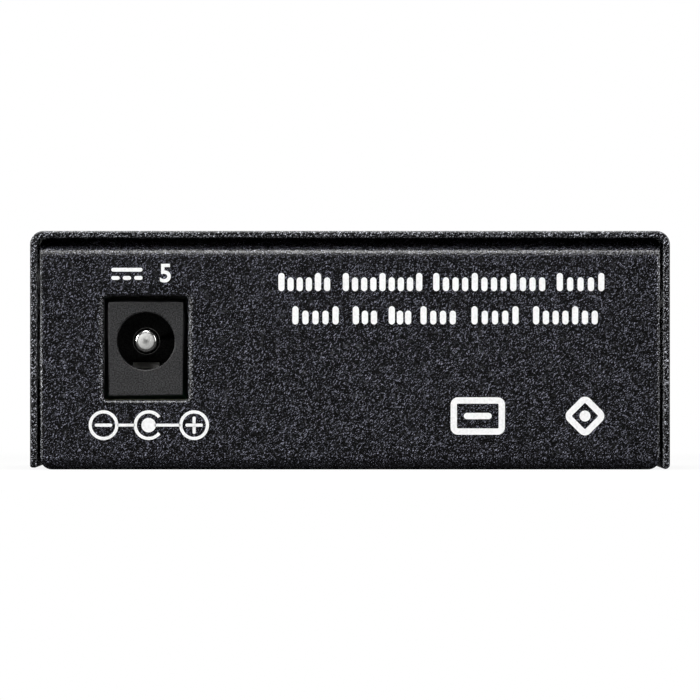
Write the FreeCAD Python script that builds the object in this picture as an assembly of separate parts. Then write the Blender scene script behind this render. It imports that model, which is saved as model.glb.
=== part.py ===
# Fibre media converter: a small desktop box that joins a copper network socket to a
# duplex optical port and is fed by a low-voltage barrel plug.
#
# A folded steel tray carries the circuit board on four standoffs; a folded U-shaped cover
# slides over it and is held by four countersunk screws. The cover's cut ends show as a
# narrow rim round both end panels, almost flush with them.
#
# Frame: millimetres, +Z up, origin at the centre of the underside. The power panel faces
# -Y and the network panel faces +Y. Each piece is one solid or one group of like solids.

import FreeCAD, Part
import math
import os

from FreeCAD import Vector

# ---------------------------------------------------------------- case sizes
case_width = 70.0
case_depth = 94.0
case_height = 26.1
sheet = 0.8                    # steel with its paint
cover_bend = 1.5               # outside radius of the cover's two bends
tray_bend = 1.3                # outside radius of every bend in the tray
panel_edge_round = 0.32        # paint-softened outlines of the end panels
cover_edge_round = 0.24        # and of the cover's ends
panel_recess = 0.1             # end panels behind the cover's rim
side_gap = 0.3                 # between the cover's legs and the tray
power_top_gap = 0.85           # between the roof and the front of the power panel's lip
panel_lip = 6.0                # folded-in top of each end panel, which carries the roof
lip_rest = 2.0                 # end of the power panel's lip, stepped up to the roof
lip_step_run = 1.2             # slope between its two levels
lip_step_round = 0.3           # inside radius of the step's bends
panel_top_corner = 0.8         # clears the cover's bends, above the power panel's lip
side_wall_height = 9.5
side_wall_corner = 1.5
corner_slit = 0.6              # bend relief between end panels and side walls
left_leg_lift = 0.2            # the cover's legs stop just short of the table
right_leg_lift = 0.05
left_leg_round = 0.28
right_leg_round = 0.52

vent_count = 11
vent_width = 1.8
vent_height = 9.0
vent_pitch = 4.2
vent_below_roof = 10.1         # the row's middle line below the cover's top

# ---------------------------------------------------------------- fasteners
thread_play = 0.05             # radial, screw in tapped hole
cover_screw_radius = 1.5
cover_screw_head_radius = 2.8
cover_screw_length = 4.0
cover_screw_sink = 0.05        # head below the cover's face
cover_screw_height = 3.6
cover_screw_setback = 14.0     # from each end of the case
countersink_play = 0.1
boss_radius = 2.3              # tapped collar drawn from the tray's side wall
boss_length = 1.6
board_screw_radius = 1.25
board_screw_head_radius = 2.3
board_screw_head_height = 1.6
board_screw_length = 6.0       # under the head
recess_slot_width = 0.6        # cross recess
recess_depth_share = 0.6       # of the head's height
standoff_radius = 2.7
standoff_height = 5.3
standoff_rivet_radius = 2.1    # clinched into the tray's floor
standoff_rivet_lift = 0.1      # its end stays above the floor's underside
rivet_play = 0.02

# ---------------------------------------------------------------- circuit board
board_thickness = 1.6
board_side_gap = 0.6           # to the tray's side walls
board_end_gap = 0.5            # to the end panels
board_corner = 1.0
mount_inset_x = 2.7            # mounting holes from the board's edges
mount_inset_y = 4.5
mount_behind_optic = 0.8       # the front pair's screw heads behind the optical module
mount_hole_play = 0.25
lead_play = 0.15               # round any lead that goes through the board
lead_below = 1.4               # leads and tags end this far under the board
peg_bury = 0.5                 # pegs start this far inside their mouldings

# ---------------------------------------------------------------- power jack
jack_from_side = 12.67         # its axis from the case's left side
jack_width = 9.0
jack_height = 11.0
jack_depth = 14.2
jack_recess = 0.7              # its face behind the panel's face
jack_bevel = 0.45              # round the square front
jack_block_depth = 3.5         # the square front part; the rest is a round-topped barrel
jack_barrel_radius = 4.3
jack_bore_radius = 3.15
jack_bore_depth = 10.0
jack_axis_height = 6.35        # above the board
jack_mouth_bevel = 0.12
jack_side_play = 0.12          # in the panel's cut-out
jack_top_play = 0.25
cutout_corner = 0.4
cutout_round = 0.35            # paint rolls over the cut-out's edge
centre_pin_radius = 1.25
centre_pin_tip_recess = 0.8
centre_pin_tip_dome = 10.0     # the end is slightly domed, with a rounded rim
centre_pin_tip_round = 0.35
centre_pin_shoulder_radius = 1.47
centre_pin_shoulder_rim = 0.05 # flat edge outside the shoulder's slope
centre_pin_shoulder_length = 0.8
centre_pin_shank_radius = 0.9
spring_width = 2.9
spring_thickness = 0.3
spring_crest = 2.2             # the leaf's slot stops this far below the jack's axis
spring_crest_setback = 5.0     # behind the jack's face
spring_crest_play = 0.02       # under the slot's top
spring_lip_setback = 3.8
spring_lip_drop = 0.75         # from the crest to the front lip
spring_foot_rise = 1.2         # where the leaf turns down, above the board
spring_heel_inset = 2.4        # from the back of the jack
spring_bend = 0.5
spring_slot_play = 0.15
spring_slot_ends = 0.5         # free length of the slot past each end of the leaf
switch_setback = 6.2
switch_gap = 0.1               # under the leaf
tag_width = 2.4
tag_thickness = 0.4

# ---------------------------------------------------------------- network socket
socket_lamp_gap = 1.8          # to the lamp holders beside it
socket_width = 16.0
socket_height = 13.4
socket_depth = 21.3
socket_proud = 0.1             # in front of the network panel
socket_panel_play = 0.3
shield_sheet = 0.25
shield_play = 0.08
shield_tab_width = 1.5
shield_finger_width = 2.4
shield_finger_length = 4.6
shield_finger_spring = 0.2
shield_finger_setback = 1.2
shield_finger_share = 0.62     # its middle, as a share of the socket's height
shield_tab_setback = 14.0
socket_mouth_width = 11.8
socket_mouth_height = 7.0
socket_mouth_floor = 3.9       # above the board
socket_mouth_depth = 14.0
latch_notch_width = 6.4
latch_notch_height = 1.5
latch_key_width = 3.8
latch_key_height = 0.9
socket_peg_radius = 1.6
socket_peg_spacing = 11.4
socket_peg_setback = 9.0       # behind the socket's face
contact_count = 8
contact_pitch = 1.02
contact_width = 0.45
contact_thickness = 0.3
contact_dip = 2.4              # how far the wires hang into the mouth
contact_channel_play = 0.5
contact_heel_gap = 0.4         # between the shield's back and the wires' upright run
contact_roof_gap = 0.75
contact_nose_setback = 0.9
contact_bend = 0.4
contact_end_reach = 1.4        # their free ends in front of the mouth's back
socket_lip = 2.2               # solid roof at the mouth, in front of the wires
comb_reach = 2.4               # the ribs between the wires stand this far into the mouth
comb_drop = 1.0

# ---------------------------------------------------------------- optical transceiver
optic_lamp_gap = 1.8           # to the lamp holders beside it
optic_width = 25.4
optic_height = 10.6
optic_length = 39.0
optic_proud = 0.1
optic_panel_play = 0.3
optic_bevel = 0.35
port_pitch = 12.7
port_width = 9.4
port_height = 7.6
port_axis_height = 5.2         # above the board
port_depth = 12.0
port_corner = 0.4
key_slot_width = 2.4
key_slot_height = 0.9
key_slot_depth = 8.0
sleeve_radius = 1.9
sleeve_bore_radius = 1.26
sleeve_reach = 5.5             # into the port from its rear wall
sleeve_seat = 3.0              # into the housing behind that wall
sleeve_mouth_bevel = 0.2
sleeve_floor = 1.0             # closed end behind the bore
optic_waist = 0.9              # the body narrows behind its ports
optic_skirt = 3.0              # and stays wide up to here
latch_arm_thickness = 0.8
latch_arm_width = 2.4
latch_arm_length = 6.6
latch_hook = 0.5
latch_hook_length = 1.8
latch_arm_offset = 3.2         # inner face of each arm from the port's axis
optic_pin_count = 9
optic_pin_pitch = 2.54
optic_pin_side = 0.46          # square pins
optic_pin_setback = 3.5        # from the module's rear end
optic_peg_radius = 0.75
optic_peg_spacing = 20.32
optic_peg_setback = 15.5       # behind the module's face

# ---------------------------------------------------------------- indicator lamps
lamp_columns = 3
lamp_pitch = 3.6
lamp_low_row = 3.4             # above the board
lamp_row_spacing = 4.6
lamp_radius = 1.5
lamp_flange_radius = 1.7
lamp_flange_length = 0.9
lamp_body_length = 4.4         # flange face to the dome's base
lamp_holder_width = 3.5
lamp_holder_depth = 6.4
lamp_holder_play = 0.03
lamp_hole_play = 0.15          # in the network panel
lamp_holder_gap = 0.7          # behind the network panel
lamp_holder_top = 0.7          # above the upper lamp's square
lamp_lead_bury = 0.3           # leads run this far into the flange
lamp_lead_spacing = 2.54
lamp_lead = 0.45               # square leads
lamp_lead_setback = 1.2        # lower row's leads behind the holder
lamp_lead_step = 1.4           # the upper row's stand further back

# ---------------------------------------------------------------- parts on the board
package_standoff = 0.1         # moulded bodies above the board
lead_bury = 0.3                # leads run this far into their bodies
chip_side = 7.0
chip_height = 1.4
chip_from_middle = 6.0         # to the right of the case's middle
chip_setback = 21.5            # behind the optical module
chip_bevel = 0.15
chip_mark_radius = 0.4
chip_mark_inset = 1.05
chip_leads_per_side = 12
chip_lead_pitch = 0.5
chip_lead_width = 0.22
chip_lead_thickness = 0.15
chip_lead_reach = 1.0
coil_box_length = 12.7
coil_box_width = 7.1
coil_box_height = 5.6
coil_box_setback = 12.9        # behind the network socket
coil_box_bevel = 0.3
coil_box_leads_per_side = 8
coil_box_lead_pitch = 1.27
coil_box_lead_width = 0.4
coil_box_lead_thickness = 0.2
coil_box_lead_reach = 1.3
crystal_length = 10.8
crystal_width = 4.5
crystal_height = 3.5
crystal_rim = 0.4
crystal_bevel = 0.35
crystal_beside_chip = 12.0
capacitor_count = 3
capacitor_pitch = 8.0
capacitor_beside_jack = 13.83
capacitor_from_end = 8.0       # from the board's rear end
capacitor_radius = 3.15
capacitor_height = 11.0
capacitor_groove = 0.25
capacitor_groove_height = 1.4
capacitor_rim = 0.35
choke_side = 6.6
choke_height = 3.0
choke_corner = 1.3
choke_ring_radius = 2.6
choke_core_radius = 2.05
choke_ring_depth = 0.3
choke_beside_capacitor = 9.0
regulator_length = 6.5
regulator_width = 3.5
regulator_height = 1.55
regulator_setback = 11.5       # behind the power jack
regulator_leg_pitch = 2.3
regulator_leg_width = 0.7
regulator_tab_width = 3.0
regulator_lead_thickness = 0.25
regulator_lead_reach = 1.7
resistor_length = 1.6
resistor_width = 0.8
resistor_height = 0.5
resistors_per_row = 5
resistor_pitch = 2.0
resistor_row_gap = 7.5         # each row behind the middle of a larger part

# ---------------------------------------------------------------- places that follow
half_width = case_width / 2
half_depth = case_depth / 2
tray_half_width = half_width - sheet - side_gap
panel_face = half_depth - panel_recess
panel_inside = panel_face - sheet
roof_under = case_height - sheet
power_lip_top = roof_under - power_top_gap
board_bottom = sheet + standoff_height
board_top = board_bottom + board_thickness
board_half_width = tray_half_width - sheet - board_side_gap
board_half_length = panel_inside - board_end_gap
cover_screw_y = half_depth - cover_screw_setback
vent_middle = case_height - vent_below_roof
jack_x = jack_from_side - half_width
jack_face = -panel_face + jack_recess
jack_back = jack_face + jack_depth
jack_axis = board_top + jack_axis_height
jack_floor = jack_face + jack_bore_depth       # inner end of the bore
spring_top = jack_axis - spring_crest          # top of the leaf's slot
spring_heel_y = jack_back - spring_heel_inset  # where the leaf turns down to the board
switch_y = jack_face + switch_setback
terminal_y = jack_back + tag_thickness / 2
jack_tag_ys = (spring_heel_y, switch_y, terminal_y)
tag_bottom = board_bottom - lead_below
lamp_block_width = (lamp_columns - 1) * lamp_pitch + lamp_holder_width
network_group = socket_width + socket_lamp_gap + lamp_block_width + optic_lamp_gap + optic_width
socket_x = (socket_width - network_group) / 2
socket_face = panel_face + socket_proud
socket_back = socket_face - socket_depth
socket_top = board_top + socket_height
mouth_floor = board_top + socket_mouth_floor
mouth_top = mouth_floor + socket_mouth_height
mouth_back = socket_face - socket_mouth_depth
socket_peg_y = socket_face - socket_peg_setback
socket_peg_xs = [socket_x + side * socket_peg_spacing / 2 for side in (-1, 1)]
shield_tab_xs = [socket_x + side * (socket_width - shield_sheet) / 2 for side in (-1, 1)]
shield_tab_y = socket_face - shield_tab_setback
contact_xs = [socket_x + (i - (contact_count - 1) / 2) * contact_pitch for i in range(contact_count)]
contact_heel = socket_back + shield_sheet + shield_play + contact_heel_gap + contact_thickness / 2
contact_top = socket_top - shield_sheet - contact_roof_gap - contact_thickness / 2
lamp_face = panel_inside - lamp_holder_gap     # front of the lamp holders
lamp_back = lamp_face - lamp_holder_depth
lamp_flange_face = lamp_face - lamp_body_length
lamp_middle_x = socket_x + socket_width / 2 + socket_lamp_gap + lamp_block_width / 2
lamp_xs = [lamp_middle_x + (i - (lamp_columns - 1) / 2) * lamp_pitch for i in range(lamp_columns)]
lamp_zs = [board_top + lamp_low_row + row * lamp_row_spacing for row in range(2)]
lamp_lead_ys = [lamp_back - lamp_lead_setback - row * lamp_lead_step for row in range(2)]
lamp_holder_height = lamp_low_row + lamp_row_spacing + lamp_holder_width / 2 + lamp_holder_top
optic_x = (network_group - optic_width) / 2
optic_face = panel_face + optic_proud
optic_back = optic_face - optic_length
port_axis = board_top + port_axis_height
port_wall = optic_face - port_depth            # rear wall of each port
port_xs = (optic_x - port_pitch / 2, optic_x + port_pitch / 2)
optic_pin_xs = [optic_x + (i - (optic_pin_count - 1) / 2) * optic_pin_pitch for i in range(optic_pin_count)]
optic_pin_y = optic_back + optic_pin_setback
optic_peg_xs = (optic_x - optic_peg_spacing / 2, optic_x + optic_peg_spacing / 2)
optic_peg_y = optic_face - optic_peg_setback
mount_x = board_half_width - mount_inset_x
mount_ys = (mount_inset_y - board_half_length, optic_back - mount_behind_optic - board_screw_head_radius)
mount_places = [(side * mount_x, y) for side in (-1, 1) for y in mount_ys]
chip_x, chip_y = chip_from_middle, optic_back - chip_setback
coil_box_x, coil_box_y = socket_x, socket_back - coil_box_setback
crystal_x, crystal_y = chip_x + crystal_beside_chip, chip_y
capacitor_xs = [jack_x + capacitor_beside_jack + i * capacitor_pitch for i in range(capacitor_count)]
capacitor_y = capacitor_from_end - board_half_length
choke_x, choke_y = capacitor_xs[-1] + choke_beside_capacitor, capacitor_y
regulator_x, regulator_y = jack_x, jack_back + regulator_setback
resistor_anchors = (
    (chip_x, chip_y),
    (crystal_x, crystal_y),
    (coil_box_x, coil_box_y),
    (regulator_x, regulator_y),
)


# ---------------------------------------------------------------- drawing helpers
def block(x0, x1, y0, y1, z0, z1):
    """Box between two corners."""
    return Part.makeBox(x1 - x0, y1 - y0, z1 - z0, Vector(x0, y0, z0))


def rod(radius, start, end):
    """Round bar between two points."""
    along = end - start
    return Part.makeCylinder(radius, along.Length, start, along)


def upright(x, y, radius, bottom, top):
    """Round post along Z."""
    return rod(radius, Vector(x, y, bottom), Vector(x, y, top))


def cone(start_radius, end_radius, start, end):
    """Tapered bar between two points."""
    along = end - start
    return Part.makeCone(start_radius, end_radius, along.Length, start, along)


def join(solids):
    """One shape from several that meet or overlap."""
    solids = list(solids)
    whole = solids[0]
    if len(solids) > 1:
        whole = whole.multiFuse(solids[1:])
    return whole.removeSplitter()


def group(solids):
    """Like pieces kept as separate solids in one node."""
    return Part.makeCompound(list(solids))


def rounded_wire(corners, place):
    """Closed wire through (u, v, radius) corners; place turns (u, v) into a point."""
    ends = []
    for i, (u, v, radius) in enumerate(corners):
        here = Vector(u, v, 0)
        before = Vector(corners[i - 1][0], corners[i - 1][1], 0) - here
        after = Vector(*corners[(i + 1) % len(corners)][:2], 0) - here
        before.normalize()
        after.normalize()
        if radius == 0:
            ends.append((here, None, here))
            continue
        half = before.getAngle(after) / 2
        run = radius / math.tan(half)
        bisector = before + after
        bisector.normalize()
        middle = here + bisector * (radius / math.sin(half) - radius)
        ends.append((here + before * run, middle, here + after * run))
    edges = []
    for i, (start, middle, end) in enumerate(ends):
        if middle is not None:
            arc = Part.Arc(place(start.x, start.y), place(middle.x, middle.y), place(end.x, end.y))
            edges.append(arc.toShape())
        following = ends[(i + 1) % len(ends)][0]
        if (following - end).Length > 1e-6:
            edges.append(Part.makeLine(place(end.x, end.y), place(following.x, following.y)))
    return Part.Wire(edges)


def slab(plane, low, high, corners):
    """Solid of a rounded outline: plane XZ runs along Y, YZ along X and XY along Z."""
    places = {
        "XZ": (lambda u, v: Vector(u, low, v), Vector(0, high - low, 0)),
        "YZ": (lambda u, v: Vector(low, u, v), Vector(high - low, 0, 0)),
        "XY": (lambda u, v: Vector(u, v, low), Vector(0, 0, high - low)),
    }
    place, along = places[plane]
    return Part.Face(rounded_wire(corners, place)).extrude(along)


def rectangle(u0, u1, v0, v1, radius=0.0):
    """Corners of a rounded rectangle for slab."""
    return [(u0, v0, radius), (u1, v0, radius), (u1, v1, radius), (u0, v1, radius)]


def strip(plane, low, high, line, thickness, bend=None):
    """Sheet strip along a line of (u, v) points; bend is its inside radius, or none for sharp corners."""
    points = [Vector(u, v, 0) for u, v in line]
    left, right = [], []
    for i, point in enumerate(points):
        into = points[i] - points[i - 1] if i else points[1] - points[0]
        out = points[i + 1] - points[i] if i + 1 < len(points) else into
        into.normalize()
        out.normalize()
        turn = math.atan2(into.x * out.y - into.y * out.x, into.dot(out))
        normal = Vector(-into.y - out.y, into.x + out.x, 0)
        normal.normalize()
        offset = normal * (thickness / 2 / math.cos(turn / 2))
        inside, outside = (0, 0) if bend is None or not turn else (bend, bend + thickness)
        left.append(((point + offset), inside if turn > 0 else outside))
        right.append(((point - offset), outside if turn > 0 else inside))
    corners = [(p.x, p.y, r) for p, r in left] + [(p.x, p.y, r) for p, r in reversed(right)]
    return slab(plane, low, high, corners)


def turned(profile, centre, axis):
    """Solid of revolution from a closed wire that lies in a plane through the axis."""
    return Part.Face(profile).revolve(centre, axis, 360)


def line_wire(points):
    """Closed wire of straight edges."""
    return Part.makePolygon(list(points) + [points[0]])


def soften(solid, radius, wanted):
    """Rounds the edges that wanted picks."""
    return solid.makeFillet(radius, [edge for edge in solid.Edges if wanted(edge)])


def bevel(solid, size, wanted):
    """Bevels the edges that wanted picks."""
    return solid.makeChamfer(size, [edge for edge in solid.Edges if wanted(edge)])


def lies_at(edge, axis, value):
    """True if the whole edge lies at one value of x, y or z."""
    box = edge.BoundBox
    low = getattr(box, axis.upper() + "Min")
    high = getattr(box, axis.upper() + "Max")
    return abs(low - value) < 1e-4 and abs(high - value) < 1e-4


def runs_along_y(edge):
    """True for an edge that has some length along Y."""
    return edge.BoundBox.YLength > 1


def within(edge, x=None, y=None, z=None):
    """True if the edge lies inside every range that is given."""
    box = edge.BoundBox
    room = 1e-4
    spans = ((x, box.XMin, box.XMax), (y, box.YMin, box.YMax), (z, box.ZMin, box.ZMax))
    return all(r is None or (low > r[0] - room and high < r[1] + room) for r, low, high in spans)


def mirrored_x(shape):
    """The same shape on the other side of the case."""
    return shape.mirror(Vector(0, 0, 0), Vector(1, 0, 0))


# ---------------------------------------------------------------- case
def end_to_end_band():
    """Floor, both end panels and their lips, folded from one strip."""
    lip_end = panel_face - panel_lip
    step_top = lip_end + lip_rest
    step_foot = step_top + lip_step_run
    lower_shift = sheet * math.tan(math.atan(power_top_gap / lip_step_run) / 2)
    wide_bend = lip_step_round + sheet
    inside_bend = tray_bend - sheet
    lip_round = sheet * 0.35
    outer = [
        (-lip_end, roof_under, lip_round),
        (-step_top, roof_under, wide_bend),
        (-step_foot, power_lip_top, lip_step_round),
        (-panel_face, power_lip_top, tray_bend),
        (-panel_face, 0, tray_bend),
        (panel_face, 0, tray_bend),
        (panel_face, roof_under, tray_bend),
        (lip_end, roof_under, lip_round),
    ]
    inner = [
        (lip_end, roof_under - sheet, lip_round),
        (panel_inside, roof_under - sheet, inside_bend),
        (panel_inside, sheet, inside_bend),
        (-panel_inside, sheet, inside_bend),
        (-panel_inside, power_lip_top - sheet, inside_bend),
        (lower_shift - step_foot, power_lip_top - sheet, wide_bend),
        (lower_shift - step_top, roof_under - sheet, lip_step_round),
        (-lip_end, roof_under - sheet, lip_round),
    ]
    band = slab("YZ", -tray_half_width, tray_half_width, outer + inner)
    rear_view = slab("XZ", -panel_face, panel_face, [
        (-tray_half_width, 0, tray_bend),
        (tray_half_width, 0, tray_bend),
        (tray_half_width, roof_under, panel_top_corner),
        (-tray_half_width, roof_under, panel_top_corner),
    ])
    return band.common(round_ends(rear_view, panel_face, panel_edge_round))


def side_wall():
    """Right-hand side wall with its bend along the floor."""
    start = panel_inside - corner_slit
    section = [
        (tray_half_width - 3 * tray_bend, 0, 0),
        (tray_half_width, 0, tray_bend),
        (tray_half_width, side_wall_height, sheet * 0.35),
        (tray_half_width - sheet, side_wall_height, sheet * 0.35),
        (tray_half_width - sheet, sheet, tray_bend - sheet),
        (tray_half_width - 3 * tray_bend, sheet, 0),
    ]
    wall = slab("XZ", -start, start, section)
    side_view = slab("YZ", 0, half_width, [
        (-start, 0, 0),
        (start, 0, 0),
        (start, side_wall_height, side_wall_corner),
        (-start, side_wall_height, side_wall_corner),
    ])
    return wall.common(side_view)


def corner_relief(sx, sy):
    """Round-ended slot that frees an end panel from the side wall beside it."""
    reach = tray_half_width - 1.6 * tray_bend
    middle = sy * (panel_inside - corner_slit / 2)
    slot = block(min(sx * reach, sx * half_width), max(sx * reach, sx * half_width),
                 middle - corner_slit / 2, middle + corner_slit / 2, -1, side_wall_height + 1)
    end = rod(corner_slit / 2, Vector(sx * reach, middle, -1), Vector(sx * reach, middle, sheet + 1))
    return slot.fuse(end)


def round_ends(solid, reach, radius):
    """Rounds the outline at both ends of a solid that runs along Y."""
    return soften(solid, radius, lambda e: lies_at(e, "y", -reach) or lies_at(e, "y", reach))


def screw_boss(y):
    """Collar drawn inwards from the right-hand side wall for a cover screw."""
    face = tray_half_width - sheet
    return rod(boss_radius, Vector(face - boss_length, y, cover_screw_height),
               Vector(face + sheet / 2, y, cover_screw_height))


def screw_hole(y):
    """Tapped hole in the right-hand side wall, with room for the screw's cone."""
    tapped = cover_screw_radius + thread_play
    outside = tray_half_width + 0.01
    cone_radius = cover_head_radius_at(outside) + countersink_play
    cone_end = outside - (cone_radius - tapped)
    inner_end = tray_half_width - sheet - boss_length - 1
    at = lambda x: Vector(x, y, cover_screw_height)
    seat = cone(cone_radius, tapped, at(outside), at(cone_end))
    return rod(tapped, at(inner_end), at(half_width)).fuse(seat)


def cover_head_radius_at(x):
    """Radius of a cover screw's 90-degree cone where it crosses the plane x."""
    return cover_screw_head_radius - (half_width - cover_screw_sink - x)


def base_tray():
    band = end_to_end_band()
    band = band.cut(group(corner_relief(sx, sy) for sx in (-1, 1) for sy in (-1, 1)))
    band = soften(band.cut(jack_cutout()), cutout_round, on_jack_cutout)
    band = band.cut(group([socket_cutout(), optic_cutout()]))
    band = band.cut(group(rod(lamp_radius + lamp_hole_play, Vector(x, panel_inside - 1, z),
                              Vector(x, panel_face + 1, z)) for x in lamp_xs for z in lamp_zs))
    wall = side_wall()
    for y in (-cover_screw_y, cover_screw_y):
        wall = wall.fuse(screw_boss(y)).cut(screw_hole(y))
    tray = join([band, wall, mirrored_x(wall)])
    return tray.cut(group(upright(x, y, standoff_rivet_radius + rivet_play, -1, sheet + 1)
                          for x, y in mount_places))


def jack_cutout():
    half = jack_width / 2 + jack_side_play
    return slab("XZ", -panel_face - 1, -panel_inside + 1, rectangle(
        jack_x - half, jack_x + half,
        board_top - jack_side_play, board_top + jack_height + jack_top_play, cutout_corner))


def on_jack_cutout(edge):
    half = jack_width / 2 + jack_side_play
    return lies_at(edge, "y", -panel_face) and within(
        edge, x=(jack_x - half, jack_x + half),
        z=(board_top - jack_side_play, board_top + jack_height + jack_top_play))


def socket_cutout():
    half = socket_width / 2 + socket_panel_play
    return slab("XZ", panel_inside - 1, panel_face + 1, rectangle(
        socket_x - half, socket_x + half,
        board_top - socket_panel_play, board_top + socket_height + socket_panel_play, cutout_corner))


def optic_cutout():
    half = optic_width / 2 + optic_panel_play
    return slab("XZ", panel_inside - 1, panel_face + 1, rectangle(
        optic_x - half, optic_x + half,
        board_top - optic_panel_play, board_top + optic_height + optic_panel_play, cutout_corner))


def top_cover():
    inside = half_width - sheet
    cover = slab("XZ", -half_depth, half_depth, [
        (-half_width, left_leg_lift, left_leg_round),
        (-half_width, case_height, cover_bend),
        (half_width, case_height, cover_bend),
        (half_width, right_leg_lift, right_leg_round),
        (inside, right_leg_lift, sheet - right_leg_round - 0.03),
        (inside, roof_under, cover_bend - sheet),
        (-inside, roof_under, cover_bend - sheet),
        (-inside, left_leg_lift, left_leg_round),
    ])
    cover = round_ends(cover, half_depth, cover_edge_round)
    for i in range(vent_count):
        y = (i - (vent_count - 1) / 2) * vent_pitch
        cover = cover.cut(slab("YZ", -half_width - 1, half_width + 1, rectangle(
            y - vent_width / 2, y + vent_width / 2,
            vent_middle - vent_height / 2, vent_middle + vent_height / 2, vent_width * 0.499)))
    for sx in (-1, 1):
        for sy in (-1, 1):
            outer = cover_screw_head_radius + cover_screw_sink + countersink_play
            at = lambda x: Vector(sx * x, sy * cover_screw_y, cover_screw_height)
            seat = cone(outer + 1, outer - sheet - 1, at(half_width + 1), at(half_width - sheet - 1))
            cover = cover.cut(seat)
    return cover


def cross_recess(centre, axis, radius, depth):
    """Two crossed slots sunk into a screw head at centre, against axis."""
    side = Vector(0, 0, 1) if abs(axis.x) > 0.5 else Vector(1, 0, 0)
    other = axis.cross(side)
    cuts = []
    for long_way, short_way in ((side, other), (other, side)):
        corner = centre - long_way * radius - short_way * (recess_slot_width / 2) - axis * depth
        points = [
            corner,
            corner + long_way * 2 * radius,
            corner + long_way * 2 * radius + short_way * recess_slot_width,
            corner + short_way * recess_slot_width,
        ]
        cuts.append(Part.Face(line_wire(points)).extrude(axis * (depth + 1)))
    return cuts[0].fuse(cuts[1])


def cover_screw(y):
    """Countersunk screw on the right-hand side."""
    face = half_width - cover_screw_sink
    head_depth = cover_screw_head_radius - cover_screw_radius
    at = lambda x: Vector(x, y, cover_screw_height)
    head = cone(cover_screw_head_radius, cover_screw_radius, at(face), at(face - head_depth))
    shank = rod(cover_screw_radius, at(face - head_depth), at(face - cover_screw_length))
    recess = cross_recess(at(face), Vector(1, 0, 0), cover_screw_head_radius * 0.55,
                          head_depth * recess_depth_share)
    return join([head, shank]).cut(recess)


def cover_screws():
    right = [cover_screw(y) for y in (-cover_screw_y, cover_screw_y)]
    return group(right + [mirrored_x(screw) for screw in right])


# ---------------------------------------------------------------- board and its supports
def board_standoffs():
    made = []
    for x, y in mount_places:
        rivet = upright(x, y, standoff_rivet_radius, standoff_rivet_lift, sheet)
        post = upright(x, y, standoff_radius, sheet, board_bottom)
        hole = upright(x, y, board_screw_radius + thread_play, 0, board_bottom + 1)
        made.append(join([rivet, post]).cut(hole))
    return group(made)


def board_screws():
    made = []
    for x, y in mount_places:
        top = board_top + board_screw_head_height
        head = upright(x, y, board_screw_head_radius, board_top, top)
        head = bevel(head, board_screw_head_height * 0.4, lambda e: lies_at(e, "z", top))
        shank = upright(x, y, board_screw_radius, board_top - board_screw_length, board_top)
        recess = cross_recess(Vector(x, y, top), Vector(0, 0, 1), board_screw_head_radius * 0.6,
                              board_screw_head_height * recess_depth_share)
        made.append(join([head, shank]).cut(recess))
    return group(made)


def through_board(x, y, half_x, half_y):
    """Rectangular cutter for a flat tag's or a square lead's hole."""
    reach_x, reach_y = half_x + lead_play, half_y + lead_play
    return block(x - reach_x, x + reach_x, y - reach_y, y + reach_y, board_bottom - 1, board_top + 1)


def drill(x, y, radius):
    """Round hole for a screw or peg."""
    return upright(x, y, radius, board_bottom - 1, board_top + 1)


def circuit_board():
    board = slab("XY", board_bottom, board_top, rectangle(
        -board_half_width, board_half_width, -board_half_length, board_half_length, board_corner))
    holes = [drill(x, y, board_screw_radius + mount_hole_play) for x, y in mount_places]
    holes += [drill(x, socket_peg_y, socket_peg_radius + lead_play) for x in socket_peg_xs]
    holes += [drill(x, optic_peg_y, optic_peg_radius + lead_play) for x in optic_peg_xs]
    holes += [through_board(x, contact_heel, contact_width / 2, contact_thickness / 2) for x in contact_xs]
    holes += [through_board(x, shield_tab_y, shield_sheet / 2, shield_tab_width / 2) for x in shield_tab_xs]
    holes += [through_board(x, optic_pin_y, optic_pin_side / 2, optic_pin_side / 2) for x in optic_pin_xs]
    holes += [through_board(x, y, lamp_lead / 2, lamp_lead / 2) for x, y in lamp_lead_places()]
    holes += [through_board(jack_x, y, tag_width / 2, tag_thickness / 2) for y in jack_tag_ys]
    return board.cut(group(holes))


# ---------------------------------------------------------------- power jack
def dc_jack_housing():
    """Square front, round-topped barrel, plug bore, and the slot under it for the leaf."""
    left, right = jack_x - jack_width / 2, jack_x + jack_width / 2
    barrel_front = jack_face + jack_block_depth
    at = lambda y: Vector(jack_x, y, jack_axis)
    front = block(left, right, jack_face, barrel_front, board_top, board_top + jack_height)
    front = bevel(front, jack_bevel, lambda e: lies_at(e, "y", jack_face))
    barrel = rod(jack_barrel_radius, at(barrel_front), at(jack_back))
    saddle = block(jack_x - jack_barrel_radius, jack_x + jack_barrel_radius, barrel_front, jack_back,
                   board_top, jack_axis)
    bore = rod(jack_bore_radius, at(jack_face - 1), at(jack_floor))
    rivet_hole = rod(centre_pin_shank_radius + rivet_play, at(jack_floor - 1), at(jack_back + 1))
    half_slot = spring_width / 2 + spring_slot_play
    leaf_slot = block(jack_x - half_slot, jack_x + half_slot,
                      jack_face + spring_lip_setback - spring_slot_ends, spring_heel_y + spring_slot_ends,
                      board_top - 1, spring_top)
    housing = join([front, barrel, saddle]).cut(join([bore, rivet_hole, leaf_slot]))
    return bevel(housing, jack_mouth_bevel,
                 lambda e: lies_at(e, "y", jack_face) and isinstance(e.Curve, Part.Circle))


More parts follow.
